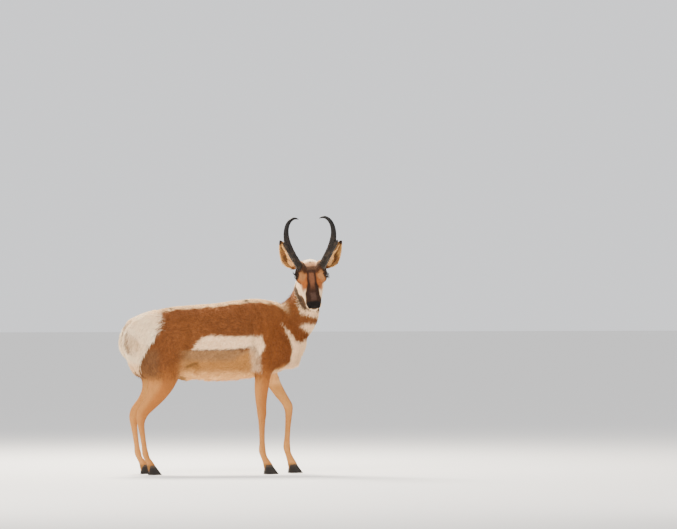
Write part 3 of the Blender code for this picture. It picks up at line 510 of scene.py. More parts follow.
def head_softness(spots):
    """The smoothing length of the head: broad at the skull, small at the muzzle."""
    turn = np.array(head_matrix().inverted())
    along = spots @ turn[0, :3] + turn[0, 3]
    share = np.clip((along - 0.13) / 0.10, 0, 1)
    return 0.0100 - 0.0062 * share


def settle(obj):
    """Makes an object's modifiers permanent."""
    graph = bpy.context.evaluated_depsgraph_get()
    mesh = bpy.data.meshes.new_from_object(obj.evaluated_get(graph))
    obj.modifiers.clear()
    obj.data = mesh
    return obj


def eye_frame(side):
    """The eye's own frame: +X along the gaze, +Y towards the front corner, in place on the head."""
    gaze = Vector((GAZE[0], side * GAZE[1], GAZE[2])).normalized()
    front = Vector((1, 0, -math.tan(math.radians(EYE_SLANT))))
    front = (front - gaze * front.dot(gaze)).normalized()
    turn = Matrix((gaze, front, gaze.cross(front))).transposed().to_4x4()
    place = head_matrix() @ Matrix.Translation((EYE[0], side * EYE[1], EYE[2])) @ turn
    return place @ Matrix.Scale(1 / HEAD_SCALE, 4)


def globe(name, side, radius):
    """A ball about the middle of one eye, with its pole along the gaze."""
    made = ball(name, (0, 0, 0), [radius] * 3, 90, EYE_COUNT)
    made.data.transform(eye_frame(side))
    return made


def eye_cone(name, side, half_length, half_height, pointed, reaches):
    """A cone from the middle of the eye; its almond outline is measured at the eye's surface."""
    rings = []
    for reach in reaches:
        ring = []
        for i in range(16):
            angle = 2 * math.pi * i / 16
            height = math.copysign(abs(math.sin(angle)) ** pointed, math.sin(angle))
            height *= half_height * (1.06 if height > 0 else 0.92)
            ring.append(Vector((EYE_RADIUS, half_length * math.cos(angle), height)) * reach)
        rings.append([eye_frame(side) @ p for p in ring])
    return loft(name, rings)


def eye_bowl(side):
    """The flesh that would stand in front of the lids."""
    bowl = eye_cone("eye_bowl", side, EYE_OPENING[0] * 1.30, EYE_OPENING[1] * 1.55, 1.0, (0.5, 2.4))
    return combined(bowl, [globe("lids", side, EYE_RADIUS + LID * 0.9)], "DIFFERENCE")


def nostril(side):
    """A hollow at the side of the nose, wide in front and drawn out to the rear."""
    place = Matrix.Translation((0.2870, side * 0.0182, 0.0120))
    place = place @ Matrix.Rotation(math.radians(side * 24), 4, "Z")
    place = place @ Matrix.Rotation(math.radians(38), 4, "Y")
    made = ball("nostril", (0, 0, 0), (0.0105, 0.0040, 0.0052), 0, (12, 8))
    made.data.transform(head_matrix() @ place)
    return made


def mouth():
    """A thin band round the muzzle, which leaves the line of the mouth and parts the lips."""
    front, corner = 0.2885, 0.205
    rings = []
    for step in range(-12, 13):
        share = abs(step) / 12
        side = 1 if step > 0 else -1
        bend = math.sin(share * math.pi / 2) ** 0.7
        u = corner + (front - corner) * math.cos(share * math.pi / 2) ** 0.55
        v = side * 0.0350 * bend * (1 + 0.16 * share ** 3)
        w = -0.0120 + 0.0042 * share ** 2
        outward = Vector((1 - share * 0.97, side * share * 1.25, 0)).normalized()
        thick = 0.00065 - 0.00030 * share
        inner = Vector((u, v, w)) - outward * (0.0050 - 0.0028 * share)
        outer = Vector((u, v, w)) + outward * 0.0090
        up = Vector((0, 0, thick))
        rings.append([inner - up, outer - up * 2.2, outer + up * 2.2, inner + up])
    made = loft("mouth", rings)
    made.data.transform(head_matrix())
    return made


def combined(base, others, operation, solver="EXACT"):
    """The base joined with, or cut by, other closed pieces, which are used up."""
    group = bpy.data.collections.new("pieces")
    workshop.children.link(group)
    for other in others:
        workshop.objects.unlink(other)
        group.objects.link(other)
    change = base.modifiers.new("change", "BOOLEAN")
    change.operation = operation
    change.solver = solver
    change.operand_type = "COLLECTION"
    change.collection = group
    settle(base)
    for other in others:
        bpy.data.objects.remove(other)
    bpy.data.collections.remove(group)
    return base


def largest(obj):
    """Keeps only the largest closed surface of an object."""
    bm = bmesh.new()
    bm.from_mesh(obj.data)
    bmesh.ops.remove_doubles(bm, verts=bm.verts, dist=0.0000005)
    bm.faces.ensure_lookup_table()
    seen = set()
    shells = []
    for face in bm.faces:
        if face in seen:
            continue
        seen.add(face)
        shell, wave = [face], [face]
        while wave:
            near = wave.pop()
            for edge in near.edges:
                for other in edge.link_faces:
                    if other not in seen:
                        seen.add(other)
                        shell.append(other)
                        wave.append(other)
        shells.append(shell)
    shells.sort(key=lambda shell: sum(face.calc_area() for face in shell), reverse=True)
    for shell in shells[1:]:
        bmesh.ops.delete(bm, geom=shell, context="FACES")
    loose = [vert for vert in bm.verts if not vert.link_faces]
    bmesh.ops.delete(bm, geom=loose, context="VERTS")
    bmesh.ops.triangulate(bm, faces=bm.faces)
    bm.to_mesh(obj.data)
    bm.free()
    return obj


# How deep the skin lies under the outline of the coat
COAT_DEPTH = {"trunk": 0.0060, "rump": 0.0070, "leg": 0.0014, "head": 0.0010, "ear": 0.0}


def step(low, high, value):
    """A soft step from 0 at low to 1 at high."""
    share = np.clip((value - low) / (high - low), 0, 1)
    return share * share * (3 - 2 * share)


def mixed(base, layer, mask):
    return base + (np.asarray(layer) - base) * np.asarray(mask)[:, None]


def wobble(spots, length, seed=0.0):
    """A smooth field between about -1 and 1 that varies over the given length."""
    p = spots / length
    x, y, z = p[:, 0] + seed, p[:, 1] - 0.7 * seed, p[:, 2] + 1.3 * seed
    return (np.sin(1.9 * x + 1.3 * np.sin(1.7 * y + 0.6 * z))
            + np.sin(2.3 * y + 1.1 * np.sin(1.5 * z + 0.9 * x))
            + np.sin(2.1 * z + 1.2 * np.sin(1.8 * x + 0.7 * y))) / 3


def inside(across, up, corners, soft):
    """1 within a polygon and 0 outside, with an edge that fades over the length soft."""
    point = np.stack([across, up], 1)
    closed = corners + corners[:1]
    far = line_reach(point, closed)
    odd = np.zeros(len(point), bool)
    for a, b in zip(closed, closed[1:]):
        crosses = (a[1] > point[:, 1]) != (b[1] > point[:, 1])
        with np.errstate(divide="ignore", invalid="ignore"):
            meets = a[0] + (point[:, 1] - a[1]) / (b[1] - a[1]) * (b[0] - a[0])
        odd ^= crosses & (point[:, 0] < meets)
    return step(-soft, soft, np.where(odd, far, -far))


def near_line(across, up, corners, width, soft):
    """1 along a line of the given width."""
    far = line_reach(np.stack([across, up], 1), corners)
    return 1 - step(width / 2 - soft, width / 2 + soft, far)


def in_head(spots):
    return local_to(head_matrix(), spots)


def one_sided(spots):
    """Points with those of the animal's right mirrored to its left."""
    return spots * (1, 0, 1) + np.abs(spots) * (0, 1, 0)


def ear_share(spots):
    """How far up an ear each point lies, 0 at the root and 1 at the tip, or -1 away from both
    ears.
    """
    share = np.full(len(spots), -1.0)
    for side in (-1, 1):
        root, tip = (ear_matrix(side) @ Vector((0, 0, along)) for along in (0, EAR_LENGTH))
        run = np.array(tip - root)
        along = (spots - np.array(root)) @ run / (run @ run)
        off = np.linalg.norm(spots - np.array(root) - np.clip(along, 0, 1)[:, None] * run, axis=1)
        hit = (along > 0.06) & (along < 1.1) & (off < EAR_REACH)
        share = np.where(hit, along, share)
    return share


# Where the rump patch ends: height and x
RUMP_EDGE = [(0.470, -0.392), (0.540, -0.388), (0.591, -0.374), (0.628, -0.360), (0.662, -0.336),
             (0.698, -0.311),
             (0.728, -0.291), (0.768, -0.266), (0.845, -0.258), (0.900, -0.252)]
FLANK = [(-0.112, 0.640), (-0.061, 0.701), (-0.008, 0.711), (0.107, 0.704), (0.247, 0.710),
         (0.264, 0.654),
         (0.248, 0.615), (0.228, 0.600), (0.215, 0.640), (0.183, 0.652), (0.107, 0.640),
         (0.000, 0.637)]
FLANK_LINE = [(-0.112, 0.638), (0.004, 0.637), (0.107, 0.640), (0.160, 0.646), (0.186, 0.657),
              (0.212, 0.652),
              (0.228, 0.628), (0.238, 0.600)]
STRIPE = [(0.361, 0.775), (0.393, 0.716), (0.408, 0.680), (0.414, 0.640), (0.408, 0.573),
          (0.380, 0.545),
          (0.300, 0.520), (0.300, 0.400), (0.560, 0.400), (0.560, 0.700), (0.505, 0.702),
          (0.459, 0.676),
          (0.438, 0.683), (0.400, 0.735)]
# Round the throat: angle from the middle of the throat in degrees, and height
THROAT_JAW = ([0, 30, 53, 66, 82, 99, 112], [0.838, 0.842, 0.852, 0.885, 0.921, 0.955, 0.985])
THROAT_UPPER = ([0, 12, 39, 62, 80, 96, 108], [0.803, 0.806, 0.816, 0.828, 0.868, 0.915, 0.955])
THROAT_LOWER = ([0, 20, 36, 50], [0.722, 0.733, 0.752, 0.777])

COLOURS = {
    "rufous": (0.15, 0.05, 0.015),
    "back": (0.168, 0.055, 0.016),
    "neck": (0.15, 0.051, 0.0145),
    "shoulder": (0.152, 0.044, 0.0105),
    # ridge: painted highlight, the pale light along the top of the back
    "ridge": (0.88, 0.6, 0.31),
    "white": (0.9, 0.62, 0.37),
    "rump": (0.95, 0.77, 0.54),
    "cream": (0.8, 0.43, 0.155),
    # grey: painted shade, on the belly, at the front of the chest and beside the tail
    "grey": (0.31, 0.165, 0.07),
    # belly: painted shade, tan over the white belly
    "belly": (0.41, 0.185, 0.05),
    "leg": (0.335, 0.117, 0.027),
    "leg_pale": (0.74, 0.4, 0.125),
    "thigh": (0.15, 0.073, 0.032),
    "dark": (0.022, 0.0105, 0.0060),
    "mask": (0.026, 0.0115, 0.0065),
    "brow": (0.165, 0.064, 0.031),
    # crown: pale, partly painted highlight of sunlight on the hair between the horns
    "face": (0.235, 0.07, 0.019),
    "crown": (0.5, 0.27, 0.115),
    "ear": (0.215, 0.0950, 0.0340),
    "ear_tan": (0.34, 0.175, 0.052),
    "ear_hollow": (0.095, 0.0400, 0.0140),
    "nose": (0.0070, 0.0050, 0.0045),
    "flank_seam": (0.090, 0.052, 0.038),
    "tail_streak": (0.190, 0.090, 0.040),
    "rump_streak": (0.150, 0.065, 0.024),
    "throat_dark": (0.050, 0.019, 0.008),
    "eye_patch": (0.330, 0.150, 0.055),
    "face_orange": (0.340, 0.098, 0.022),
    "nose_grey": (0.085, 0.046, 0.034),
    "crown_tan": (0.300, 0.140, 0.070),
    "brow_band": (0.040, 0.018, 0.010),
    "horn": (0.0110, 0.0076, 0.0058),
    "horn_worn": (0.036, 0.024, 0.015),
    "horn_tip": (0.0045, 0.0036, 0.0034),
    "claw": (0.0120, 0.0095, 0.0080),
    "claw_top": (0.060, 0.040, 0.026),
    "eyeball": (0.055, 0.040, 0.034),
    "iris": (0.030, 0.014, 0.008),
    "pupil": (0.003, 0.003, 0.004),
    "lash": (0.010, 0.007, 0.006),
}

# The dark strip behind the jaw, in the head's frame and mirrored
JAW_STRIP = [(0.062, 0.072, -0.048), (0.078, 0.076, -0.064), (0.110, 0.070, -0.063),
             (0.138, 0.063, -0.070),
             (0.163, 0.053, -0.081), (0.184, 0.040, -0.095), (0.195, 0.031, -0.104)]
# The ear's hollow: share of the length, and the edges of the pale band from the horn's side
# outwards
EAR_BAND = ([0.15, 0.30, 0.40, 0.50, 0.60, 0.70, 0.85, 1.00],
            [-1.0, -1.0, -0.60, -0.20, -0.02, 0.08, 0.10, 0.20],
            [0.80, 0.58, 0.47, 0.30, 0.27, 0.26, 0.25, 0.20])
# The head's reach against the neck: along the nose, the lowest level and half the width
HEAD_REACH = ([0.00, 0.03, 0.05, 0.085, 0.12, 0.155, 0.19, 0.225, 0.255, 0.29],
              [-0.020, -0.058, -0.070, -0.072, -0.066, -0.057, -0.048, -0.041, -0.037, -0.030],
              [0.050, 0.062, 0.067, 0.072, 0.072, 0.066, 0.058, 0.051, 0.045, 0.038])


def leg_line(z, x):
    """The middle of the leg that a point at this height and place belongs to."""
    rows = [FORELEG, STEPPING_FORELEG, HIND_LEG]
    lines = [
        np.interp(z, *zip(*[(row[1], row[0]) for row in reversed(leg_rows)]))
        for leg_rows in rows
    ]
    fore = np.where(np.abs(x - lines[0]) < np.abs(x - lines[1]), lines[0], lines[1])
    return np.where(x < 0, lines[2], fore)


def neck_angle(spots):
    """The angle round the neck, from the middle of the throat, in degrees."""
    rows = between([(*place, heading) for place, heading, *_ in NECK], 6)
    height = spots[:, 2]
    x, y, heading = (np.interp(height, rows[:, 2], rows[:, k]) for k in (0, 1, 3))
    heading = np.radians(heading)
    dx, dy = spots[:, 0] - x, spots[:, 1] - y
    ahead = dx * np.cos(heading) + dy * np.sin(heading)
    aside = dy * np.cos(heading) - dx * np.sin(heading)
    return np.degrees(np.arctan2(np.abs(aside), ahead))


def markings(spots, jitter=0.0):
    """The colour of the coat at each point, the same for skin and tufts."""
    c = COLOURS
    spots = (spots + jitter + 0.0035
             * np.stack([wobble(spots, 0.017, k) for k in (0.0, 2.0, 4.0)], 1))
    x, y, z = spots.T
    u, v, w = in_head(spots).T
    v = np.abs(v)
    angle = neck_angle(spots)

    colour = filled(c["rufous"], len(spots))
    colour = mixed(colour, c["back"], step(0.78, 0.86, z))
    colour = mixed(colour, c["shoulder"], step(0.18, 0.28, x) * step(0.84, 0.74, z) * 0.8)
    colour = mixed(colour, c["neck"], step(0.80, 0.88, z + 0.5 * (x - 0.40)) * step(0.34, 0.42, x))
    tan = 0.5 + 0.5 * wobble(spots, 0.11, 1.0)
    colour = mixed(colour, c["leg"], 0.25 * tan)

    # Legs: tan, paler on the inside and along the back of each
    legs = step(0.600, 0.430, z + 0.03 * wobble(spots, 0.06, 9.0))
    colour = mixed(colour, c["leg"], legs)
    inner = step(0.058, 0.040, np.abs(y)) * step(0.56, 0.48, z)
    colour = mixed(colour, c["leg_pale"], 0.40 * inner)
    behind = step(-0.010, 0.026, leg_line(z, x) - x) * step(0.54, 0.44, z)
    colour = mixed(colour, c["leg_pale"], 0.22 * behind)
    low = step(0.36, 0.14, z)
    colour = mixed(colour, c["leg_pale"], 0.16 * low)
    colour = mixed(colour, c["dark"], 0.55 * step(0.058, 0.044, z))

    # Belly and flank. The belly under the white flank is white itself; the grey band, the tan and
    # the cream lowest that cover it are painted shade
    ahead = np.interp(z, [0.47, 0.54, 0.60, 0.64], [0.205, 0.212, 0.232, 0.262])
    trunk = step(-0.20, -0.11, x) * step(0.012, -0.012, x - ahead)
    under = trunk * step(0.644, 0.630, z)
    colour = mixed(colour, c["grey"], under * 0.85)
    colour = mixed(colour, c["belly"], under * step(0.600, 0.565, z - 0.05 * step(0.08, 0.20, x)))
    colour = mixed(colour, c["cream"], under * step(0.545, 0.505, z) * 0.85)
    middle = step(0.075, 0.035, np.abs(y)) * step(0.60, 0.52, z) * step(-0.34, -0.28, x)
    colour = mixed(colour, c["cream"], middle * step(0.44, 0.47, z) * 0.9)
    speck = 0.5 + 0.5 * wobble(spots, 0.006, 5.0)
    elbow = inside(x, z, [(0.185, 0.655), (0.215, 0.655), (0.245, 0.600), (0.250, 0.530),
                          (0.205, 0.530)], 0.012)
    colour = mixed(colour, c["white"], elbow * (0.35 + 0.35 * speck))
    colour = mixed(colour, c["white"], inside(x, z, FLANK, 0.006) * step(0.05, 0.09, np.abs(y)))
    line = near_line(x, z, FLANK_LINE, 0.0070, 0.0035) * step(0.05, 0.09, np.abs(y))
    colour = mixed(colour, c["flank_seam"], line * 0.70)
    # Painted shade: a dark line in the flank fold
    fold = near_line(x, z, [(-0.135, 0.552), (-0.085, 0.566)], 0.014, 0.006)
    colour = mixed(colour, c["dark"], fold * 0.55 * step(0.06, 0.09, np.abs(y)))
    colour = mixed(colour, c["dark"],
                   0.65 * step(0.030, 0.018,
                               np.hypot(x + 0.150, z - 0.484)) * step(0.03, 0.02, np.abs(y)))

    # Painted shade in the deeper creases: the colour is darkened along each of them
    flat = one_sided(spots)
    for corners, reach, deep in FOLDS:
        if deep > 0.0045:
            crease_shade = np.exp(-(line_reach(flat, corners) / (reach * 0.75)) ** 2)
            colour = colour * (1 - 0.34 * crease_shade)[:, None]

    # Thigh: greyer behind
    thigh = step(-0.26, -0.31, x) * step(0.66, 0.62, z) * step(0.47, 0.52, z)
    colour = mixed(colour, c["thigh"], thigh * (0.45 + 0.35 * speck))

    # Rump patch with the brown streak of the tail
    edge = np.interp(z, *zip(*RUMP_EDGE))
    patch = step(0.008, -0.006, x - edge) * step(0.470, 0.520, z)
    colour = mixed(colour, c["rump"], patch)
    colour = mixed(colour, c["cream"], patch * 0.30 * (0.5 + 0.5 * wobble(spots, 0.045, 3.0)))
    colour = mixed(colour, c["cream"], patch * 0.55 * step(0.62, 0.56, z))
    streak = (step(0.013, 0.005, np.abs(y)) * step(-0.38, -0.41, x) * step(0.665, 0.69, z)
              * step(0.785, 0.765, z))
    colour = mixed(colour, c["tail_streak"], streak * 0.80)
    # Painted shade: a streaky grey-tan area on each buttock beside the tail
    tan = (step(1.0, 0.35, np.hypot((x + 0.415) / 0.060, (z - 0.685) / 0.072))
           * step(0.05, 0.075, np.abs(y)))
    colour = mixed(colour, c["grey"],
                   tan * (0.40 + 0.25 * wobble(spots * (1.0, 1.0, 0.4), 0.010, 7.0)))
    beside = near_line(x, z, [(-0.437, 0.742), (-0.443, 0.700), (-0.434, 0.650)], 0.013, 0.007)
    colour = mixed(colour, c["rump_streak"], beside * step(0.05, 0.070, np.abs(y)) * 0.85)

    # Painted highlight: a pale band along the top of the back, sunlight on the hair laid in as coat
    # colour; and two dark spots
    rows = between(TRUNK, 3)
    under_top = np.interp(x, rows[:, 0], rows[:, 2]) - z + 0.006 * wobble(spots, 0.022, 6.0)
    ridge = step(0.027, 0.012, under_top) * step(-0.30, -0.25, x) * step(0.42, 0.36, x)
    colour = mixed(colour, c["ridge"], ridge * (0.78 + 0.16 * wobble(spots, 0.014, 6.0)))
    for spot_x, wide in ((-0.205, 0.011), (0.190, 0.014)):
        spot = (step(wide, wide * 0.5, np.hypot(x - spot_x, (np.abs(y) - 0.028) * 0.5))
                * step(0.82, 0.84, z))
        colour = mixed(colour, c["dark"], spot * 0.85)

    # Chest stripe and the crescents of the throat
    front = step(0.25, 0.34, x) * step(1.0, 0.95, z)
    colour = mixed(colour, c["white"], inside(x, z, STRIPE, 0.006) * front * step(0.505, 0.540, z))
    # Painted shade: grey speckles at the front of the white chest
    chest = inside(x, z, STRIPE, 0.010) * step(0.430, 0.47, x) * step(0.50, 0.54, z)
    colour = mixed(colour, c["grey"], chest * 0.30 * speck)
    lower = (step(-0.006, 0.006, z - np.interp(angle, *THROAT_LOWER))
             * step(0.006, -0.006, z - 0.774))
    colour = mixed(colour, c["white"], lower * step(54, 46, angle) * step(0.40, 0.44, x))
    above = (step(-0.006, 0.006, z - np.interp(angle, *THROAT_UPPER)) * step(0.36, 0.40, x)
             * step(110, 100, angle))
    colour = mixed(colour, c["white"], above * step(1.02, 0.97, z))
    jaw = step(-0.004, 0.006, z - np.interp(angle, *THROAT_JAW)) * above * step(112, 100, angle)
    colour = mixed(colour, c["throat_dark"], jaw * step(1.02, 0.97, z) * 0.92)
    colour = face_markings(colour, spots, u, v, w)
    strip = line_reach(np.stack([u, v, w], 1), JAW_STRIP)
    wide = np.interp(u, [0.06, 0.09, 0.15, 0.20], [0.007, 0.010, 0.0095, 0.006])
    return mixed(colour, c["dark"], step(0.0025, -0.0015, strip - wide) * 0.94)


def head_share(u, v, w):
    """1 on the head and 0 on the neck behind it."""
    lowest, half = (np.interp(u, HEAD_REACH[0], HEAD_REACH[k]) for k in (1, 2))
    share = (step(0.002, 0.022, u) * step(-0.006, 0.002, w - lowest)
             * step(0.012, 0.004, np.abs(v) - half))
    return share * step(0.36, 0.33, u) * step(0.150, 0.130, w)


def face_markings(colour, spots, u, v, w):
    c = COLOURS
    head = head_share(u, v, w)
    face = filled(c["face"], len(spots))
    face = mixed(face, c["cream"], 0.35 * step(0.085, 0.060, u))
    cheek = step(0.030, 0.006, w - 0.10 * (u - 0.10)) * step(0.015, 0.035, u)
    face = mixed(face, c["white"], cheek)
    face = mixed(face, c["white"], step(0.186, 0.212, u))
    pale = step(0.026, 0.010, np.hypot(u - 0.134, (v - 0.046) * 0.9)) * step(0.02, 0.03, w)
    face = mixed(face, c["eye_patch"], 0.75 * pale)
    orange = step(0.026, 0.008, np.hypot((u - 0.172) * 0.8, v - 0.038)) * step(0.004, 0.014, w)
    face = mixed(face, c["face_orange"], orange * 0.75)
    # The mask, from the nose up to the brow
    half = np.interp(u, [0.11, 0.14, 0.17, 0.19, 0.22, 0.25, 0.28],
                     [0.024, 0.021, 0.024, 0.030, 0.0355, 0.037, 0.040])
    floor = np.interp(u, [0.15, 0.20, 0.24, 0.27, 0.30], [0.032, 0.018, 0.008, 0.001, -0.003])
    floor = np.maximum(floor, np.where(u > 0.262, np.interp(v, [0.0, 0.020, 0.032, 0.040],
                                                            [-0.016, -0.011, 0.003, 0.016]), -1))
    mask = step(0.004, -0.004, v - half) * step(-0.003, 0.004, w - floor) * step(0.098, 0.112, u)
    face = mixed(face, c["mask"], mask)
    pale = step(0.018, 0.007, v) * step(0.225, 0.165, u) * step(0.116, 0.128, u) * mask
    face = mixed(face, c["brow"], pale * 0.90)
    grey = step(0.020, 0.008, v) * step(0.215, 0.235, u) * step(0.275, 0.255, u) * mask
    face = mixed(face, c["nose_grey"], grey * 0.6)
    # The crown between the horns, whose pale to white colour is partly painted highlight of
    # sunlight on the hair, the band before it and its dark spot
    crown = step(0.112, 0.096, u) * step(0.040, 0.055, w) * step(0.050, 0.038, v)
    face = mixed(face, c["crown"], crown)
    face = mixed(face, c["rump"], crown * step(0.060, 0.040, u) * 0.8)
    face = mixed(face, c["crown_tan"], crown * step(0.058, 0.070, u) * step(0.034, 0.022, v) * 0.8)
    band = step(0.082, 0.092, u) * step(0.130, 0.118, u) * step(0.055, 0.065, w)
    face = mixed(face, c["brow_band"], band * 0.88)
    face = mixed(face, c["dark"],
                 0.9 * step(0.009, 0.004, np.hypot(u - 0.055, v)) * step(0.05, 0.06, w))
    foot = step(0.036, 0.027, np.sqrt((u - 0.092) ** 2 + (v - 0.057) ** 2 + (w - 0.082) ** 2))
    face = mixed(face, c["dark"], foot * 0.85)
    # Dark rim of the eye
    ring = np.sqrt((u - EYE[0]) ** 2 + (v - EYE[1]) ** 2 + (w - EYE[2]) ** 2) * HEAD_SCALE
    face = mixed(face, c["dark"], step(EYE_RADIUS + 0.0105, EYE_RADIUS + 0.0055, ring))
    front = np.sqrt((u - EYE[0] - 0.008) ** 2 + (v - EYE[1] - 0.004) ** 2
                    + (w - EYE[2] - 0.007) ** 2)
    face = mixed(face, c["dark"], step(0.0255, 0.0220, front))
    corner = near_line(u, w, [(0.124, 0.042), (0.142, 0.028)], 0.014, 0.005) * step(0.040, 0.048, v)
    face = mixed(face, c["dark"], corner * 0.80)
    # Chin and lips
    under = np.interp(v, [0.0, 0.012, 0.022, 0.031, 0.038], [-0.019, -0.015, -0.010, 0.002, 0.016])
    nose = step(0.264, 0.274, u) * step(-0.002, 0.002, w - under)
    face = mixed(face, c["nose"], nose)
    lip = step(0.0035, 0.0015, np.abs(w + 0.0118)) * step(0.20, 0.215, u)
    face = mixed(face, c["dark"], lip * 0.75)
    colour = mixed(colour, face, head)

    # Ears
    share = ear_share(spots)
    ears = (share > -0.5) * step(0.05, 0.14, share)
    hollow, rim, outward = ear_inside(spots)
    shell = filled(c["ear"], len(spots))
    shell = mixed(shell, c["cream"], 0.35 * step(0.45, 0.20, share))
    shell = mixed(shell, c["ear_tan"], hollow * 0.9)
    shell = mixed(shell, c["ear_hollow"],
                  hollow * step(0.92, 0.72, outward) * step(0.66, 0.52, share))
    shell = mixed(shell, c["ear_hollow"], hollow * step(0.60, 0.48, outward) * 0.8)
    low, high = (np.interp(share, EAR_BAND[0], EAR_BAND[k]) for k in (1, 2))
    band = (hollow * step(-0.05, 0.05, outward - low) * step(0.05, -0.05, outward - high)
            * step(0.92, 0.84, share))
    shell = mixed(shell, c["cream"], band * 0.95)
    shell = mixed(shell, c["cream"], rim * 0.9)
    shell = mixed(shell, c["dark"], step(0.85, 0.92, share))
    return mixed(colour, shell, ears)


def ear_matrix(side):
    root = on_head(EAR_ROOT[0], side * EAR_ROOT[1], EAR_ROOT[2])
    lean = Matrix.Rotation(math.radians(-side * EAR_OUT[side]), 4, "X")
    lean = lean @ Matrix.Rotation(math.radians(-EAR_BACK), 4, "Y")
    turn = Matrix.Rotation(math.radians(side * EAR_TURN), 4, "Z")
    return Matrix.Translation(root) @ facing() @ lean @ turn


def ear_inside(spots):
    """Whether points lie in the hollow of an ear, how near its rim, and how far from its line to
    the outer side.
    """
    hollow = np.zeros(len(spots))
    rim = np.zeros(len(spots))
    outward = np.zeros(len(spots))
    rows = between(EAR, 6)
    for side in (-1, 1):
        x, y, z = local_to(ear_matrix(side), spots).T
        share = np.clip(z / EAR_LENGTH, 0, 1)
        half, spread = (np.interp(share, rows[:, 0], rows[:, k]) for k in (1, 2))
        spread = np.radians(spread)
        radius = half / np.sin(np.minimum(spread, math.pi / 2))
        centre = radius - EAR_BOW * np.sin(math.pi * share)
        y = y - side * EAR_SWAY * np.sin(math.pi * share ** 0.75)
        close = (np.hypot(x, y) < 0.06) & (z > 0) & (z < EAR_LENGTH * 1.05)
        hollow = np.where(close & (np.hypot(x - centre, y) < radius), 1.0, hollow)
        turned = np.abs(np.arctan2(y, centre - x))
        rim = np.where(close, step(0.0065, 0.0030, (spread - turned) * radius), rim)
        outward = np.where(close, side * y / half, outward)
    return hollow, rim, outward


def ear_form(side):
    """One ear: a cupped leaf that narrows to a tube at its root, with a ribbed hollow."""
    count = 22
    rows = between(EAR, 8)
    bm = bmesh.new()
    grid = []
    for share, half, angle in rows:
        spread = math.radians(angle)
        radius = half / math.sin(min(spread, math.pi / 2))
        bow = EAR_BOW * math.sin(math.pi * share)
        sway = side * EAR_SWAY * math.sin(math.pi * share ** 0.75)
        row = []
        for i in range(count + 1):
            turn = spread * (2 * i / count - 1)
            rib = EAR_RIB * math.cos(turn * 9) * math.sin(math.pi * share) - bow
            along = share * EAR_LENGTH
            point = Vector((radius * (1 - math.cos(turn)) + rib, radius * math.sin(turn) + sway,
                            along))
            row.append(bm.verts.new(point))
        grid.append(row)
    for low, high in zip(grid, grid[1:]):
        for i in range(count):
            bm.faces.new((low[i], low[i + 1], high[i + 1], high[i]))
    bm.transform(ear_matrix(side))
    made = as_object("ear_form", bm)
    wall = made.modifiers.new("wall", "SOLIDIFY")
    wall.thickness = EAR_WALL
    wall.offset = 0
    return settle(made)


# Creases and ridges of the skin: points, reach, depth (a ridge has a negative depth), mirrored to
# both sides
FOLDS = [
    ([(-0.162, 0.110, 0.845), (-0.146, 0.124, 0.790), (-0.126, 0.128, 0.735),
      (-0.130, 0.126, 0.665),
      (-0.150, 0.120, 0.600)], 0.017, 0.0080),
    ([(-0.140, 0.118, 0.600), (-0.110, 0.112, 0.560), (-0.075, 0.100, 0.545)], 0.012, 0.0060),
    ([(-0.195, 0.120, 0.790), (-0.185, 0.126, 0.700), (-0.195, 0.122, 0.620)], 0.028, -0.0060),
    ([(0.190, 0.126, 0.780), (0.205, 0.124, 0.700), (0.218, 0.118, 0.620), (0.228, 0.100, 0.560)],
     0.016, 0.0050),
    ([(0.255, 0.108, 0.860), (0.275, 0.114, 0.780), (0.285, 0.116, 0.700)], 0.018, -0.0050),
    ([(0.300, 0.090, 0.880), (0.317, 0.100, 0.825), (0.345, 0.104, 0.735), (0.366, 0.104, 0.700)],
     0.014, 0.0055),
    ([(0.355, 0.090, 0.790), (0.385, 0.090, 0.730), (0.405, 0.088, 0.650)], 0.010, 0.0040),
    ([(0.225, 0.108, 0.555), (0.250, 0.108, 0.535), (0.290, 0.104, 0.540)], 0.011, 0.0050),
    ([(-0.330, 0.110, 0.560), (-0.318, 0.104, 0.490), (-0.345, 0.096, 0.410)], 0.011, 0.0045),
    ([(-0.245, 0.116, 0.600), (-0.235, 0.110, 0.520), (-0.262, 0.100, 0.450)], 0.024, -0.0035),
]
# The same for the head, in its own frame
FACE_FOLDS = [
    ([(0.128, 0.050, 0.022), (0.160, 0.045, 0.012), (0.190, 0.040, 0.004)], 0.0080, -0.0022),
    ([(0.132, 0.046, 0.034), (0.150, 0.042, 0.028), (0.168, 0.038, 0.022)], 0.0050, 0.0018),
    ([(0.150, 0.012, 0.068), (0.200, 0.011, 0.050), (0.250, 0.010, 0.036)], 0.0065, -0.0012),
    ([(0.140, 0.028, 0.056), (0.190, 0.026, 0.040), (0.235, 0.024, 0.026)], 0.0070, 0.0014),
    ([(0.050, 0.052, -0.022), (0.085, 0.050, -0.040), (0.120, 0.045, -0.042)], 0.0090, -0.0020),
    ([(0.128, 0.050, -0.012), (0.165, 0.042, -0.014), (0.205, 0.036, -0.014)], 0.0060, 0.0018),
    ([(0.245, 0.036, 0.010), (0.262, 0.034, 0.006), (0.274, 0.030, -0.002)], 0.0045, 0.0012),
    ([(0.094, 0.060, 0.066), (0.112, 0.061, 0.065), (0.130, 0.055, 0.058)], 0.0042, 0.0020),
    ([(0.084, 0.058, 0.030), (0.100, 0.062, 0.024), (0.122, 0.058, 0.022)], 0.0040, 0.0014),
]


def line_reach(spots, corners):
    """The distance to the nearest point of a line through the corners."""
    far = np.full(len(spots), 1e9)
    for a, b in zip(corners, corners[1:]):
        a, b = np.array(a), np.array(b)
        run = b - a
        share = np.clip(((spots - a) @ run) / (run @ run), 0, 1)
        far = np.minimum(far, np.linalg.norm(spots - a - share[:, None] * run, axis=1))
    return far


def get(mesh, kind, count, what, width, dtype=np.float64):
    values = np.empty(count * width, dtype)
    getattr(mesh, kind).foreach_get(what, values)
    return values.reshape(-1, width) if width > 1 else values


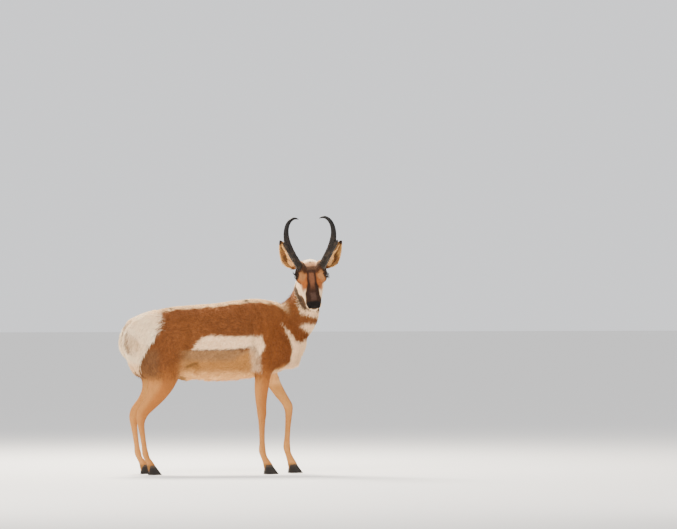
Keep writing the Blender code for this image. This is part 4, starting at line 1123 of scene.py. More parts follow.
def places(mesh):
    return get(mesh, "vertices", len(mesh.vertices), "co", 3)


def normals(mesh):
    return get(mesh, "vertex_normals", len(mesh.vertices), "vector", 3)


def edge_ends(mesh):
    """The two ends of each edge, listed in both directions."""
    ends = get(mesh, "edges", len(mesh.edges), "vertices", 2, np.int32)
    return np.vstack([ends, ends[:, ::-1]])


def neighbour_sum(spots, ends):
    columns = [np.bincount(ends[:, 0], spots[ends[:, 1], k], len(spots)) for k in range(3)]
    return np.stack(columns, 1)


def put(mesh, spots):
    mesh.vertices.foreach_set("co", spots.ravel())
    mesh.update()


def relax(mesh, weight, rounds):
    """Evens the skin out where weight isn't 0."""
    spots = places(mesh)
    ends = edge_ends(mesh)
    ends = ends[weight[ends[:, 0]] > 0]
    valence = np.maximum(np.bincount(ends[:, 0], minlength=len(spots)), 1)[:, None]
    for _ in range(rounds):
        spots += weight[:, None] * (neighbour_sum(spots, ends) / valence - spots) * 0.5
    put(mesh, spots)


def fold(mesh):
    """Presses the creases into the skin and raises its ridges."""
    spots, out = places(mesh), normals(mesh)
    move = np.zeros(len(spots))
    flat = one_sided(spots)
    for corners, reach, deep in FOLDS:
        move -= deep * np.exp(-(line_reach(flat, corners) / reach) ** 2)
    local = in_head(spots)
    local[:, 1] = np.abs(local[:, 1])
    for corners, reach, deep in FACE_FOLDS:
        move -= deep * np.exp(-(line_reach(local, corners) / reach) ** 2)
    trunk = step(0.46, 0.56, spots[:, 2]) * step(0.97, 0.90, spots[:, 2])
    move += 0.0010 * wobble(spots, 0.045, 8.0) * trunk
    put(mesh, spots + out * move[:, None])


def coat_depth(spots):
    """How far the skin lies under the outline of the coat."""
    x, _, z = spots.T
    u, v, w = in_head(spots).T
    d = COAT_DEPTH
    deep = np.full(len(spots), d["trunk"])
    deep += (d["rump"] - d["trunk"]) * step(-0.22, -0.30, x)
    deep += (d["leg"] - d["trunk"]) * step(0.54, 0.42, z)
    head = step(-0.01, 0.05, u) * step(-0.10, -0.07, w) * step(0.12, 0.10, np.abs(v))
    deep = deep + (d["head"] - deep) * head
    share = ear_share(spots)
    return deep * np.where(share > 0, step(0.10, 0.0, share), 1.0)


def softness(spots):
    u = in_head(spots)[:, 0]
    near = distance(spots, EYES_MIDDLE) < 0.26
    return np.where(near & (u > 0.02), head_softness(spots), body_softness(spots))


def whole_skin():
    """One skin over trunk, neck, head, legs, ears and tail, with its folds, lids, nostrils and
    mouth.
    """
    forms = body_forms() + head_forms()
    forms.append(leg("tail_form", TAIL, 0, 0, 1, 0, 4, 20))
    skin = fuse("skin", forms, GRAIN, softness)
    fold(skin.data)
    spots = places(skin.data)
    u = in_head(spots)[:, 0]
    near = distance(spots, EYES_MIDDLE)
    coarse = 1 - step(0.20, 0.13, near) * step(-0.02, 0.04, u)
    group = skin.vertex_groups.new(name="body")
    levels = np.round(coarse * 4).astype(int)
    for level in range(1, 5):
        group.add(np.nonzero(levels == level)[0].tolist(), level / 4, "REPLACE")
    thin = skin.modifiers.new("thin", "DECIMATE")
    thin.ratio = SKIN_TRIANGLES / (2 * len(skin.data.polygons))
    thin.vertex_group = "body"
    thin.vertex_group_factor = 2.0
    settle(skin)
    skin.vertex_groups.clear()
    spots, out = places(skin.data), normals(skin.data)
    put(skin.data, spots - out * coat_depth(spots)[:, None])
    combined(skin, [ear_form(side) for side in (-1, 1)], "UNION", "MANIFOLD")
    spots = places(skin.data)
    weight = np.zeros(len(spots))
    for side in (-1, 1):
        root = ear_matrix(side) @ Vector((0, 0, 0.012))
        weight = np.maximum(weight, step(0.034, 0.020, distance(spots, root)))
    relax(skin.data, weight, 4)
    combined(skin, [eye_bowl(side) for side in (-1, 1)], "DIFFERENCE", "MANIFOLD")
    combined(skin, [globe("lids", side, EYE_RADIUS + LID) for side in (-1, 1)], "UNION", "MANIFOLD")
    spots = places(skin.data)
    weight = np.zeros(len(spots))
    for side in (-1, 1):
        far = distance(spots, eye_frame(side).translation)
        weight = np.maximum(weight, step(0.0310, 0.0270, far)
                            * step(EYE_RADIUS, EYE_RADIUS + 0.002, far))
    relax(skin.data, weight, 5)
    cutters = [mouth()]
    for side in (-1, 1):
        opening = eye_cone("eye_opening", side, *EYE_OPENING, 1.25, (0.15, 1.0, 2.2))
        cutters += [globe("socket", side, EYE_RADIUS + 0.0003), opening, nostril(side)]
    for cutter in cutters:
        combined(skin, [cutter], "DIFFERENCE", "MANIFOLD")
    return largest(skin)


def horn_place(side):
    return Matrix.Translation(on_head(HORN_FOOT[0], side * HORN_FOOT[1], HORN_FOOT[2])) @ facing()


def horn_form(side):
    """One horn: a flattened, ridged sheath that hooks inwards, with its prong fused on."""
    place = horn_place(side)

    def arm(name, rows, steps, count):
        rows = between(rows, steps)
        centres = [Vector((row[1], side * row[0], row[2])) for row in rows]
        rings = []
        for centre, ahead, row in zip(centres, tangents(centres), rows):
            across = Vector((0, 1, 0))
            across = (across - ahead * across.dot(ahead)).normalized()
            rings.append(section(centre, across, ahead.cross(across), row[3], row[4], row[4], 2.0,
                                 count))
        return loft(name, [[place @ p for p in ring] for ring in rings])

    beam = arm("beam", HORN, 6, 28)
    prong = arm("prong", PRONG, 6, 20)
    horn = fuse(f"horn_sheath_{SIDES[side]}", [beam, prong], HORN_GRAIN, horn_softness)
    mesh = horn.data
    spots, out = places(mesh), normals(mesh)
    x, y, z = local_to(place, spots).T
    rows = between(HORN, 8)
    middle_x, middle_y = (np.interp(z, rows[:, 2], rows[:, k]) for k in (1, 0))
    angle = np.arctan2(side * y - middle_y, x - middle_x)
    rough = step(0.215, 0.120, z)
    ridge = (np.sin(angle * 15 + 2.2 * wobble(spots, 0.030, 2.0)) * 0.00052
             + wobble(spots, 0.0065, 7.0) * 0.00055)
    rings = np.sin(z / 0.0052 + 2.5 * wobble(spots, 0.040, 3.0)) * 0.00022
    put(mesh, spots + out * ((ridge + rings) * rough)[:, None])
    height = np.clip(z / 0.24, 0, 1)
    colour = filled(COLOURS["horn"], len(spots))
    colour = mixed(colour, COLOURS["horn_worn"],
                   rough * step(-0.2, 0.8, wobble(spots, 0.012, 4.0)) * 0.60)
    colour = mixed(colour, COLOURS["horn_tip"], step(0.45, 0.85, height))
    paint(mesh, colour)
    return horn


def horn_softness(spots):
    return np.full(len(spots), HORN_SOFTNESS)


def claw_forms(name, toe, side_y, size):
    """The two claws of one foot, with a rounded wall, growth lines and a softer heel."""
    length, width, spread = size
    made = []
    for claw in (-1, 1):
        rings = []
        for index, (z, swell) in enumerate(CLAW_LEVELS):
            line = 0.0004 if index % 2 and index > 2 else 0.0
            front = toe + length * 0.55 - z * TOE_SLOPE - (0.0012 if z == 0 else 0)
            rear = toe - length * 0.45 + z * HEEL_SLOPE
            ring = []
            for i in range(CLAW_POINTS):
                angle = 2 * math.pi * i / CLAW_POINTS
                along = math.cos(angle)
                half = (swell * width / 2
                        * math.copysign(abs(math.sin(angle)) ** 0.75, math.sin(angle)))
                half *= (1 - 0.35 * max(0, along) ** 2) * (1 - line * 20)
                x = (front + rear) / 2 + ((front - rear) / 2 - line) * along
                inward = 0.0030 * max(0, along) ** 2
                ring.append(Vector((x, side_y + claw * (spread * (0.9 + 0.1 * swell) - inward)
                                    + half, z)))
            rings.append(ring)
        hoof = loft(f"{name}_{'inner' if claw * side_y < 0 else 'outer'}_wall", rings)
        spots = places(hoof.data)
        colour = filled(COLOURS["claw"], len(spots))
        colour = mixed(colour, COLOURS["claw_top"], step(0.032, 0.044, spots[:, 2]) * 0.7)
        paint(hoof.data, colour)
        made.append(hoof)
    return made


def eye_ball(side):
    """The eye, dark brown with a wide, level pupil and a slightly bulged front."""
    bm = bmesh.new()
    bmesh.ops.create_uvsphere(bm, u_segments=64, v_segments=48, radius=EYE_RADIUS)
    bm.transform(Matrix.Rotation(math.radians(90), 4, "Y"))
    for vert in bm.verts:
        ahead = vert.co.x / EYE_RADIUS
        vert.co *= 1 + 0.030 * max(0, (ahead - 0.72) / 0.28) ** 1.5 - 0.003
    local = np.array([vert.co[:] for vert in bm.verts])
    bm.transform(eye_frame(side))
    eye = as_object(f"eyeball_{SIDES[side]}", bm)
    front = local[:, 0] > 0
    iris = step(0.0150, 0.0138, np.hypot(local[:, 1], local[:, 2])) * front
    pupil = step(1.10, 0.92, np.hypot(local[:, 1] / 0.0092, local[:, 2] / 0.0042)) * front
    colour = filled(COLOURS["eyeball"], len(local))
    colour = mixed(colour, COLOURS["iris"], iris)
    colour = mixed(colour, COLOURS["pupil"], pupil)
    paint(eye.data, colour)
    return eye


def paint(mesh, colour):
    """Keeps a colour for each vertex."""
    layer = mesh.color_attributes.new("coat", "FLOAT_COLOR", "POINT")
    values = np.ones((len(colour), 4), np.float32)
    values[:, :3] = np.clip(colour, 0, 1)
    layer.data.foreach_set("color", values.ravel())
    mesh.shade_smooth()


# The lie of the coat: points on the animal's left and the way the hair lies there, mirrored to the
# right
LIE = [
    ((0.300, 0.000, 0.900), (-1.0, 0.0, -0.05)), ((0.000, 0.000, 0.880), (-1.0, 0.0, 0.0)),
    ((-0.250, 0.000, 0.860), (-1.0, 0.0, -0.15)), ((0.240, 0.110, 0.820), (-0.75, 0.0, -0.55)),
    ((0.290, 0.110, 0.700), (-0.35, 0.0, -0.95)), ((0.100, 0.130, 0.760), (-1.0, 0.0, -0.28)),
    ((-0.080, 0.125, 0.760), (-1.0, 0.0, -0.25)), ((0.050, 0.140, 0.640), (-1.0, 0.0, -0.22)),
    ((-0.100, 0.115, 0.600), (-0.9, 0.0, -0.35)), ((0.050, 0.060, 0.500), (-1.0, -0.1, 0.0)),
    ((-0.100, 0.030, 0.500), (-1.0, 0.0, 0.0)), ((-0.230, 0.115, 0.760), (-0.75, 0.0, -0.65)),
    ((-0.270, 0.115, 0.640), (-0.45, 0.0, -0.90)), ((-0.340, 0.100, 0.560), (-0.25, 0.0, -1.0)),
    ((-0.370, 0.090, 0.780), (-0.65, 0.2, -0.8)), ((-0.420, 0.070, 0.700), (-0.30, 0.25, -1.0)),
    ((-0.440, 0.030, 0.640), (-0.10, 0.25, -1.0)), ((-0.435, 0.000, 0.720), (-0.15, 0.0, -1.0)),
    ((-0.270, 0.070, 0.450), (-0.20, 0.0, -1.0)), ((-0.350, 0.080, 0.340), (-0.15, 0.0, -1.0)),
    ((-0.360, 0.080, 0.200), (0.05, 0.0, -1.0)), ((0.260, 0.075, 0.480), (0.0, 0.0, -1.0)),
    ((0.256, 0.078, 0.300), (0.0, 0.0, -1.0)), ((0.256, 0.078, 0.120), (0.05, 0.0, -1.0)),
    ((0.360, 0.070, 0.430), (0.35, 0.0, -0.9)), ((0.420, 0.070, 0.250), (0.0, 0.0, -1.0)),
    ((0.400, 0.080, 0.640), (-0.15, 0.0, -1.0)), ((0.470, 0.000, 0.680), (-0.10, 0.0, -1.0)),
    ((0.390, 0.020, 0.560), (-0.80, 0.0, -0.5)), ((0.360, 0.090, 0.800), (-0.55, 0.0, -0.80)),
    ((0.420, 0.070, 0.800), (-0.35, 0.0, -0.95)), ((0.520, 0.000, 0.760), (0.05, 0.0, -1.0)),
    ((0.380, 0.000, 0.900), (-0.8, 0.0, -0.55)),
]
HEAD_LIE = [
    ((0.280, 0.000, 0.020), (-1.0, 0.25, 0.5)), ((0.240, 0.000, 0.036), (-1.0, 0.0, 0.25)),
    ((0.160, 0.000, 0.064), (-1.0, 0.0, 0.35)), ((0.110, 0.000, 0.080), (-1.0, 0.0, 0.10)),
    ((0.050, 0.000, 0.078), (-1.0, 0.0, -0.10)), ((0.010, 0.000, 0.050), (-0.8, 0.0, -0.8)),
    ((0.230, 0.034, 0.005), (-1.0, 0.15, -0.05)), ((0.170, 0.046, 0.010), (-1.0, 0.30, 0.0)),
    ((0.120, 0.056, 0.000), (-1.0, 0.25, -0.25)), ((0.070, 0.060, -0.020), (-1.0, 0.1, -0.35)),
    ((0.020, 0.050, 0.000), (-1.0, 0.0, -0.5)), ((0.080, 0.055, 0.075), (-1.0, 0.4, 0.2)),
    ((0.200, 0.020, -0.040), (-1.0, 0.1, -0.15)), ((0.100, 0.020, -0.064), (-1.0, 0.0, -0.10)),
    ((0.270, 0.015, -0.032), (-0.9, 0.2, -0.5)), ((0.040, 0.020, -0.060), (-1.0, 0.0, -0.6)),
]


def lie_field(spots, guides):
    """The direction between guide directions, by how near each is."""
    flow = np.zeros_like(spots)
    for at, way in guides:
        for side in (-1, 1):
            mirror = np.array((1, side, 1))
            near = ((spots - np.array(at) * mirror) ** 2).sum(1)
            flow += (np.array(way) * mirror / np.linalg.norm(way)) / (near + 0.0009)[:, None] ** 2
    return flow


def lie(spots, out):
    """The way the hair lies at each point, along the skin."""
    local = in_head(spots)
    turn = np.array(head_matrix().to_3x3()) / HEAD_SCALE
    head = (step(-0.02, 0.04, local[:, 0]) * step(-0.11, -0.07, local[:, 2])
            * step(0.13, 0.10, np.abs(local[:, 1])))
    body_flow = lie_field(spots, LIE)
    neck_rows = between([place for place, *_ in NECK], 4)
    ahead = np.gradient(neck_rows, axis=0)
    down = -np.stack([np.interp(spots[:, 2], neck_rows[:, 2], ahead[:, k]) for k in range(3)], 1)
    body_flow = unit(body_flow)
    neck_share = step(0.80, 0.87, spots[:, 2]) * step(0.36, 0.42, spots[:, 0])
    body_flow = body_flow + (unit(down) - body_flow) * neck_share[:, None]
    head_flow = unit(lie_field(local, HEAD_LIE)) @ turn.T
    flow = body_flow + (head_flow - body_flow) * head[:, None]
    share = ear_share(spots)
    for side in (-1, 1):
        near = distance(spots, ear_matrix(side).translation) < EAR_LENGTH * 1.2
        flow[(share > 0.02) & near] = (ear_matrix(side).to_3x3() @ Vector((0, 0, 1))).normalized()
    flow = unit(flow) + 0.16 * np.stack([wobble(spots, 0.030, k) for k in (1.0, 3.0, 5.0)], 1)
    return unit(flow - out * (flow * out).sum(1)[:, None])


def unit(rows):
    return rows / np.maximum(np.linalg.norm(rows, axis=1), 1e-9)[:, None]


class Skin:
    """The finished skin, as arrays for scattering tufts over it."""

    def __init__(self, obj):
        mesh = obj.data
        mesh.calc_loop_triangles()
        self.spots = places(mesh)
        self.out = normals(mesh)
        count = len(mesh.loop_triangles)
        self.tris = get(mesh, "loop_triangles", count, "vertices", 3, np.int32)
        loops = get(mesh, "loop_triangles", count, "loops", 3, np.int32)
        uvs = np.empty(len(mesh.loops) * 2, np.float32)
        mesh.uv_layers["OFBake"].data.foreach_get("uv", uvs)
        self.uvs = uvs.reshape(-1, 2)[loops]
        a, b, c = (self.spots[self.tris[:, k]] for k in range(3))
        self.area = np.linalg.norm(np.cross(b - a, c - a), axis=1) / 2
        self.middle = (a + b + c) / 3
        self.tree = BVHTree.FromPolygons(self.spots.tolist(), self.tris.tolist())

    def scatter(self, density, dice):
        """Random points, density(middles) of them to the square metre: places, normals and
        places on the unwrap.
        """
        wish = self.area * density(self.middle)
        count = int(wish.sum())
        pick = dice.choice(len(wish), count, p=wish / wish.sum())
        a, b = dice.random((2, count))
        over = a + b > 1
        a, b = np.where(over, 1 - a, a), np.where(over, 1 - b, b)
        share = np.stack([1 - a - b, a, b], 1)
        tri = self.tris[pick]
        spots = (self.spots[tri] * share[:, :, None]).sum(1)
        out = unit((self.out[tri] * share[:, :, None]).sum(1))
        return spots, out, (self.uvs[pick] * share[:, :, None]).sum(1)


# A tuft's rings, as shares of its length, how deep its root lies in the skin, and its patch on the
# unwrap
RINGS = {"short": (0.0, 0.50), "long": (0.0, 0.33, 0.70)}
ROOT_DEPTH = 0.0012
PATCH = 0.0028


def tufts(name, skin, density, size, dice, kind="short", spread=0.20, tone=0.10, shade=0.28):
    """A piece of coat: many thin, three-sided tufts that leave the skin and lie over it.

    size gives the length, the width, the thickness and how far the tip stands off the skin.
    """
    spots, out, uvs = skin.scatter(density, dice)
    count = len(spots)
    way = lie(spots, out)
    across = np.cross(way, out)
    way = unit(way + across * dice.normal(0, spread, count)[:, None])
    length, width, thick, lift = (np.full(count, value) for value in size)
    length *= dice.uniform(0.75, 1.25, count)
    lift *= dice.uniform(0.6, 1.25, count)
    colour = markings(spots, dice.normal(0, 0.0022, (count, 3)))
    colour = colour * (1 + dice.normal(0, tone, count))[:, None]
    rings = RINGS[kind]
    rows, tints, patch = [], [], []
    at, up, last = spots.copy(), out.copy(), 0.0
    for share in rings + (1.0,):
        if share:
            at = at + way * (length * (share - last))[:, None]
            near = [skin.tree.find_nearest(Vector(p)) for p in at.tolist()]
            at = np.array([hit[0][:] for hit in near])
            up = unit(0.5 * up + 0.5 * np.array([hit[1][:] for hit in near]))
            way = unit(way - up * (way * up).sum(1)[:, None])
            last = share
        across = unit(np.cross(way, up))
        height = -ROOT_DEPTH + (lift + ROOT_DEPTH) * share ** 1.25
        middle = at + up * height[:, None]
        # Painted shade along each tuft: darker at the root, lighter towards the tip
        light = 1 - shade + (shade + 0.10) * share ** 0.7
        if share < 1:
            wide = (width * (0.75 + 1.0 * share - 1.35 * share ** 2) / 2)[:, None]
            deep = (thick * (0.8 + 0.4 * share))[:, None]
            rows += [middle - across * wide, middle + up * deep, middle + across * wide]
            tints += [colour * light] * 3
            patch += [(-0.5, share), (0.0, share), (0.5, share)]
        else:
            rows.append(middle)
            tints.append(colour * light)
            patch.append((0.0, 1.0))
    size_of = len(rows)
    verts = np.stack(rows, 1).reshape(-1, 3)
    paints = np.stack(tints, 1).reshape(-1, 3)
    corners = []
    for ring in range(len(rings)):
        low = ring * 3
        for i in range(3):
            j = (i + 1) % 3
            if ring + 1 < len(rings):
                corners += [(low + i, low + j, low + 3 + j), (low + i, low + 3 + j, low + 3 + i)]
            else:
                corners.append((low + i, low + j, low + 3))
    corners = np.array(corners, np.int32)
    faces = (corners[None]
             + (np.arange(count, dtype=np.int32) * size_of)[:, None, None]).reshape(-1, 3)
    spots_uv = uvs[:, None, :] + (np.array(patch) - (0, 0.5)) * PATCH
    return raw_mesh(name, verts, faces, paints, spots_uv.reshape(-1, 2))


def raw_mesh(name, verts, faces, colour, uvs):
    mesh = bpy.data.meshes.new(name)
    mesh.vertices.add(len(verts))
    mesh.vertices.foreach_set("co", np.ascontiguousarray(verts, np.float32).ravel())
    mesh.loops.add(len(faces) * 3)
    mesh.loops.foreach_set("vertex_index", faces.ravel())
    mesh.polygons.add(len(faces))
    mesh.polygons.foreach_set("loop_start", np.arange(0, len(faces) * 3, 3, dtype=np.int32))
    mesh.update()
    layer = mesh.uv_layers.new(name="OFBake")
    layer.data.foreach_set("uv", np.ascontiguousarray(uvs[faces.ravel()], np.float32).ravel())
    made = bpy.data.objects.new(name, mesh)
    workshop.objects.link(made)
    paint(mesh, colour)
    return made


def unwrap(obj):
    """An unwrap of the skin's own shape."""
    obj.data.uv_layers.new(name="OFBake")
    bpy.context.view_layer.objects.active = obj
    obj.select_set(True)
    bpy.ops.object.mode_set(mode="EDIT")
    bpy.ops.mesh.select_all(action="SELECT")
    bpy.ops.uv.smart_project(angle_limit=math.radians(72), island_margin=0.002)
    bpy.ops.object.mode_set(mode="OBJECT")
    obj.select_set(False)


def set_inputs(node, values):
    for name, value in values.items():
        node.inputs[name].default_value = value


def surface(name, rough, bump_scale, bump, grain=(1, 1, 1), tone=0.10, level=0.35, sheen=0.0,
            gloss=0.0):
    """A material: the vertex colours, broken up by noise, with a fine bump."""
    made = bpy.data.materials.new(name)
    made.use_nodes = True
    nodes, links = made.node_tree.nodes, made.node_tree.links
    shader = nodes["Principled BSDF"]
    set_inputs(shader, {
        "Roughness": rough, "Specular IOR Level": level, "Sheen Weight": sheen,
        "Sheen Roughness": 0.45, "Coat Weight": gloss, "Coat Roughness": 0.03,
    })
    spots = nodes.new("ShaderNodeTexCoord")
    stretch = nodes.new("ShaderNodeMapping")
    set_inputs(stretch, {"Scale": grain})
    links.new(spots.outputs["Object"], stretch.inputs["Vector"])
    fine = nodes.new("ShaderNodeTexNoise")
    set_inputs(fine, {"Scale": bump_scale, "Detail": 3.0})
    links.new(stretch.outputs["Vector"], fine.inputs["Vector"])
    broad = nodes.new("ShaderNodeTexNoise")
    set_inputs(broad, {"Scale": bump_scale * 0.16})
    links.new(spots.outputs["Object"], broad.inputs["Vector"])
    both = nodes.new("ShaderNodeMath")
    both.operation = "ADD"
    links.new(fine.outputs["Fac"], both.inputs[0])
    links.new(broad.outputs["Fac"], both.inputs[1])
    spread = nodes.new("ShaderNodeMapRange")
    set_inputs(spread, {"From Min": 0.6, "From Max": 1.4, "To Min": 1 - tone, "To Max": 1 + tone})
    links.new(both.outputs[0], spread.inputs["Value"])
    colour = nodes.new("ShaderNodeVertexColor")
    colour.layer_name = "coat"
    shaded = nodes.new("ShaderNodeVectorMath")
    shaded.operation = "SCALE"
    links.new(colour.outputs["Color"], shaded.inputs[0])
    links.new(spread.outputs["Result"], shaded.inputs["Scale"])
    links.new(shaded.outputs["Vector"], shader.inputs["Base Color"])
    relief = nodes.new("ShaderNodeBump")
    set_inputs(relief, {"Strength": 0.6, "Distance": bump})
    links.new(fine.outputs["Fac"], relief.inputs["Height"])
    links.new(relief.outputs["Normal"], shader.inputs["Normal"])
    return made


def finish_piece(obj, material, slot, *nodes):
    obj.data.transform(Matrix.Translation(-SHIFT))
    obj.data.materials.clear()
    obj.data.materials.append(material)
    workshop.objects.unlink(obj)
    bpy.context.scene.collection.objects.link(obj)
    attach(obj, "root")
    if nodes:
        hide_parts(*nodes)


# The camera: its turn in degrees, where it aims (along its right, and up), its distance and lens
CAMERA_AZIMUTH = -12
AIM_RIGHT, AIM_HEIGHT = 0.657, 1.0716
CAMERA_DISTANCE = 28.86
CAMERA_LENS = 300
FLOOR_REACH = 60
FLOOR_COLOUR = (0.80, 0.785, 0.76, 1)
SKY_COLOUR = (0.96, 0.97, 1.0, 1)
SKY_STRENGTH = 1.15
# Area lights: place to the camera's right, towards the camera and up, power, size, colour
LAMPS = [
    ("key", -2.4, 4.2, 3.6, 430, 3.0, (1.0, 0.92, 0.82)),
    ("rim", -0.8, -2.2, 4.0, 760, 1.4, (1.0, 0.92, 0.80)),
    ("fill", 3.6, 3.4, 2.0, 90, 3.2, (1.0, 0.95, 0.90)),
]


def camera_and_light():
    """The photo's view, and soft studio light over a pale floor."""
    azimuth = math.radians(CAMERA_AZIMUTH)
    right = Vector((math.cos(azimuth), math.sin(azimuth), 0))
    back = Vector((math.sin(azimuth), -math.cos(azimuth), 0))
    aim = right * AIM_RIGHT + Vector((0, 0, AIM_HEIGHT)) - SHIFT
    camera = bpy.data.cameras.new("camera")
    camera.lens = CAMERA_LENS
    camera.sensor_width = 36
    camera.clip_end = 200
    stand = bpy.data.objects.new("camera", camera)
    stand.location = aim + back * CAMERA_DISTANCE
    stand.rotation_euler = (math.radians(90), 0, azimuth)
    bpy.context.scene.collection.objects.link(stand)
    bpy.context.scene.camera = stand

    floor = bpy.data.meshes.new("floor")
    corners = [(x * FLOOR_REACH, y * FLOOR_REACH, 0) for x,
               y in ((-1, -1), (1, -1), (1, 1), (-1, 1))]
    floor.from_pydata(corners, [], [(0, 1, 2, 3)])
    ground = bpy.data.objects.new("floor", floor)
    pale = bpy.data.materials.new("pale_floor")
    pale.use_nodes = True
    paint_node = pale.node_tree.nodes["Principled BSDF"]
    set_inputs(paint_node, {"Base Color": FLOOR_COLOUR, "Roughness": 0.9})
    floor.materials.append(pale)
    bpy.context.scene.collection.objects.link(ground)

    sky = bpy.data.worlds.new("studio")
    sky.use_nodes = True
    set_inputs(sky.node_tree.nodes["Background"], {"Color": SKY_COLOUR, "Strength": SKY_STRENGTH})
    bpy.context.scene.world = sky
    for name, to_right, to_back, height, power, size, tint in LAMPS:
        place = right * to_right + back * to_back + Vector((0, 0, height))
        lamp = bpy.data.lights.new(name, "AREA")
        lamp.energy = power
        lamp.size = size
        lamp.color = tint
        light = bpy.data.objects.new(name, lamp)
        light.location = place
        light.rotation_euler = (Vector((0, 0, 0.7)) - place).to_track_quat("-Z", "Y").to_euler()
        bpy.context.scene.collection.objects.link(light)


def on_face(spots):
    u, v, w = in_head(spots).T
    return head_share(u, v, w) * (ear_share(spots) < 0.05)


def bare(spots):
    """1 where no hair grows: the lids, the eyes' rims, the nose, the lips and the horn feet."""
    u, v, w = in_head(spots).T
    none = np.zeros(len(spots))
    for side in (-1, 1):
        far = distance(spots, eye_frame(side).translation)
        none = np.maximum(none, step(EYE_RADIUS + 0.0065, EYE_RADIUS + 0.0048, far))
        far = distance(spots, horn_place(side).translation)
        none = np.maximum(none, step(0.018, 0.014, far))
    none = np.maximum(none, step(0.266, 0.274, u) * step(-0.008, -0.002, w)
                      * step(0.05, 0.04, np.abs(v)))
    none = np.maximum(none, step(0.0030, 0.0018, np.abs(w + 0.0118)) * step(0.20, 0.21, u))
    return np.maximum(none, step(CORONET + 0.003, CORONET - 0.002, spots[:, 2]))


def part_of(spots, part):
    """The share of a part of the coat at each point."""
    x, y, z = spots.T
    face = on_face(spots)
    ears = (ear_share(spots) >= 0.05) * 1.0
    rest = (1 - face) * (1 - ears) * (1 - bare(spots))
    legs = step(0.53, 0.47, z)
    rump = step(0.010, -0.004, x - np.interp(z, *zip(*RUMP_EDGE))) * step(0.50, 0.54, z)
    neck = step(0.34, 0.38, x) * step(0.56, 0.62, z + 0.3 * (x - 0.36))
    if part == "mane":
        angle = neck_angle(spots)
        return rest * neck * step(140, 158, angle) * step(0.80, 0.84, z) * step(1.09, 1.05, z)
    if part == "fringe":
        chest = (step(0.395, 0.44, x) * step(0.66, 0.62, z) * step(0.54, 0.56, z)
                 * step(0.07, 0.05, np.abs(y)))
        ham = step(-0.355, -0.385, x) * step(0.60, 0.57, z) * step(0.46, 0.49, z)
        belly = (step(0.040, 0.025, np.abs(y)) * step(0.50, 0.485, z) * step(-0.12, -0.08, x)
                 * step(0.24, 0.20, x) * 0.5)
        return np.clip(chest + ham + belly, 0, 1) * (1 - face)
    if part == "tail":
        return rest * step(0.023, 0.020, np.abs(y)) * step(-0.41, -0.425, x) * step(0.62, 0.66, z)
    if part == "head":
        return face * (1 - bare(spots))
    if part == "ear":
        return ears
    if part == "leg":
        return rest * legs
    if part == "rump":
        return (rest * (1 - legs) * rump
                * (1 - 0.6 * step(0.022, 0.018, np.abs(y)) * step(-0.40, -0.43, x)))
    if part == "neck":
        return rest * (1 - legs) * (1 - rump) * neck
    return rest * (1 - legs) * (1 - rump) * (1 - neck)


def lashes(side):
    """The lashes of the upper lid, and short ones below."""
    dice = np.random.default_rng(40 + side)
    eye = eye_frame(side)
    rows, faces = [], []
    for number in range(UPPER_LASHES + LOWER_LASHES):
        upper = number < UPPER_LASHES
        place = number + 0.5
        turn = (math.pi
                * (place / UPPER_LASHES if upper else 1 + (place - UPPER_LASHES) / LOWER_LASHES))
        turn += dice.normal(0, 0.02)
        height = math.copysign(abs(math.sin(turn)) ** 1.25, math.sin(turn)) * EYE_OPENING[1]
        root = Vector((EYE_RADIUS, EYE_OPENING[0] * math.cos(turn),
                       height * (1.06 if upper else 0.92)))
        root = root.normalized() * (EYE_RADIUS + LID * 0.55)
        long = ((UPPER_LASH if upper else LOWER_LASH) * dice.uniform(0.75, 1.1)
                * (0.55 + 0.45 * abs(math.sin(turn))))
        away = Vector((0, math.cos(turn) * 0.8, math.sin(turn))).normalized()
        base = len(rows)
        for share, wide in ((0, 0.00075), (0.5, 0.00058), (1, 0.0)):
            bend = share ** 1.5
            centre = (root + (Vector((1, 0, 0)) * (1 - 0.35 * bend) + away * (0.25 + 0.75 * bend))
                      * long * share)
            if share < 1:
                for k in range(3):
                    spoke = 2 * math.pi * k / 3
                    rows.append(centre + Vector((0.3 * math.cos(spoke), math.cos(spoke),
                                                 math.sin(spoke))) * wide)
            else:
                rows.append(centre)
        for k in range(3):
            j = (k + 1) % 3
            faces += [(base + k, base + j, base + 3 + j), (base + k, base + 3 + j, base + 3 + k),
                      (base + 3 + k, base + 3 + j, base + 6)]
    verts = np.array([(eye @ p)[:] for p in rows])
    tints = filled(COLOURS["lash"], len(rows))
    uvs = np.tile((0.5, 0.5), (len(verts), 1))
    return raw_mesh(f"lashes_{SIDES[side]}", verts, np.array(faces, np.int32), tints, uvs)


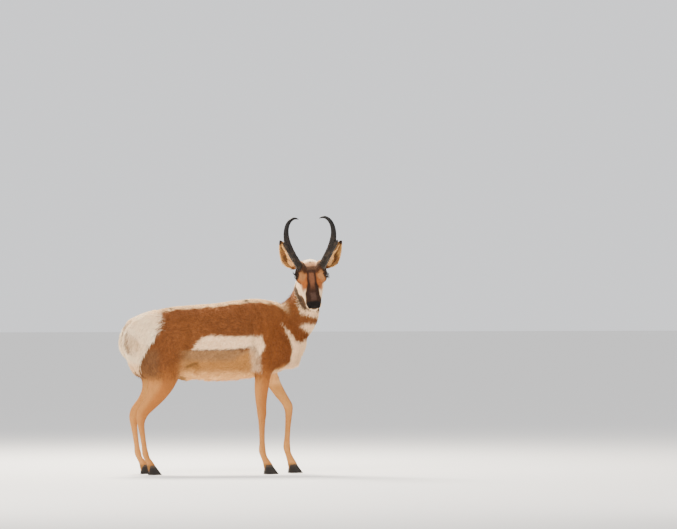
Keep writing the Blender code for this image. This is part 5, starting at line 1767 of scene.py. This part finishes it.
# The coat: piece, part of the body, slot, tufts to the square metre, their length, width, thickness
# and lift, seed, and how they differ from the usual short tufts
COATS = [
    ("coat_trunk_a", "trunk", "back_coat", 26000, (0.018, 0.0023, 0.0007, 0.0042), 1,
     {"shade": 0.20}),
    ("coat_trunk_b", "trunk", "back_coat", 26000, (0.015, 0.0019, 0.0006, 0.0050), 2,
     {"shade": 0.20}),
    ("coat_neck", "neck", "neck_coat", 60000, (0.019, 0.0022, 0.0007, 0.0053), 3, {"shade": 0.20}),
    ("coat_rump", "rump", "rump_coat", 60000, (0.040, 0.0030, 0.0009, 0.0085), 4,
     {"kind": "long", "spread": 0.22, "shade": 0.18, "tone": 0.07}),
    ("tail_hair", "tail", "tail_coat", 90000, (0.030, 0.0024, 0.0008, 0.0060), 10,
     {"kind": "long", "spread": 0.16}),
    ("mane", "mane", "neck_coat", 26000, (0.044, 0.0026, 0.0009, 0.0150), 8,
     {"kind": "long", "spread": 0.20}),
    ("fringe", "fringe", "back_coat", 14000, (0.034, 0.0026, 0.0009, 0.0100), 9,
     {"kind": "long", "spread": 0.30}),
    ("coat_leg", "leg", "leg_coat", 46000, (0.0085, 0.0016, 0.0005, 0.0011), 5, {"spread": 0.12}),
    ("coat_head", "head", "head_coat", 150000, (0.0058, 0.0010, 0.00035, 0.0009), 6,
     {"spread": 0.12}),
    ("coat_ear", "ear", "ear_coat", 110000, (0.0075, 0.0010, 0.00035, 0.0012), 7, {"spread": 0.16}),
]


def main():
    skin_obj = whole_skin()
    unwrap(skin_obj)
    spots = places(skin_obj.data)
    paint(skin_obj.data, markings(spots) * 0.86)
    skin = Skin(skin_obj)

    coats = []
    for name, part, slot, per_area, size, seed, how in COATS:
        few = per_area * 1.0
        dice = np.random.default_rng(seed)
        piece = tufts(name, skin, lambda at: part_of(at, part) * few, size, dice, **how)
        coats.append((piece, slot))

    hair = surface("hair", 0.78, 420, 0.0004, tone=0.08, level=0.08, sheen=0.03)
    finish_piece(skin_obj, surface("hide", 0.85, 700, 0.0010, tone=0.10, level=0.08, sheen=0.03),
                 "back_coat",
                 "torso", "rump", "neck", "head", "tail", "ear_left", "ear_right",
                 "leg_fore_left", "leg_fore_right", "leg_hind_left", "leg_hind_right")
    for piece, slot in coats:
        finish_piece(piece, hair, slot)
    horn_skin = surface("horn_sheath", 0.50, 900, 0.0006, grain=(1, 1, 0.12), tone=0.30, level=0.16)
    hoof_skin = surface("hoof_horn", 0.46, 500, 0.0005, grain=(0.3, 0.3, 2.0), tone=0.25,
                        level=0.18)
    eye_skin = surface("eye_glaze", 0.10, 60, 0.0, tone=0.05, level=0.50, gloss=1.0)
    lash_skin = surface("lash_hair", 0.8, 300, 0.0, tone=0.05, level=0.05)
    for side in (-1, 1):
        finish_piece(horn_form(side), horn_skin, "horn_sheath", f"horn_{SIDES[side]}")
        finish_piece(eye_ball(side), eye_skin, "eye_surface", f"eye_{SIDES[side]}")
        finish_piece(lashes(side), lash_skin, "head_coat")
    feet = (("hoof_fore_right", 0.300, -FORELEG_TRACK[0], FORE_CLAWS),
            ("hoof_fore_left", 0.456, FORELEG_TRACK[1], FORE_CLAWS),
            ("hoof_hind_right", -0.303, -HIND_LEG_TRACK[0], HIND_CLAWS),
            ("hoof_hind_left", -0.303 + HIND_LEFT_STEP, HIND_LEG_TRACK[1], HIND_CLAWS))
    for foot in feet:
        for claw in claw_forms(*foot):
            finish_piece(claw, hoof_skin, "hoof_horn", claw.name.removesuffix("_wall"))
    camera_and_light()


workshop = bpy.data.collections.new("workshop")
bpy.context.scene.collection.children.link(workshop)
eyes = [np.array(corner) for side in ("left", "right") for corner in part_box(f"eye_{side}")]
SHIFT = EYES_MIDDLE - Vector(sum(eyes) / 4)
SHIFT.z = 0
main()
bpy.data.collections.remove(workshop)
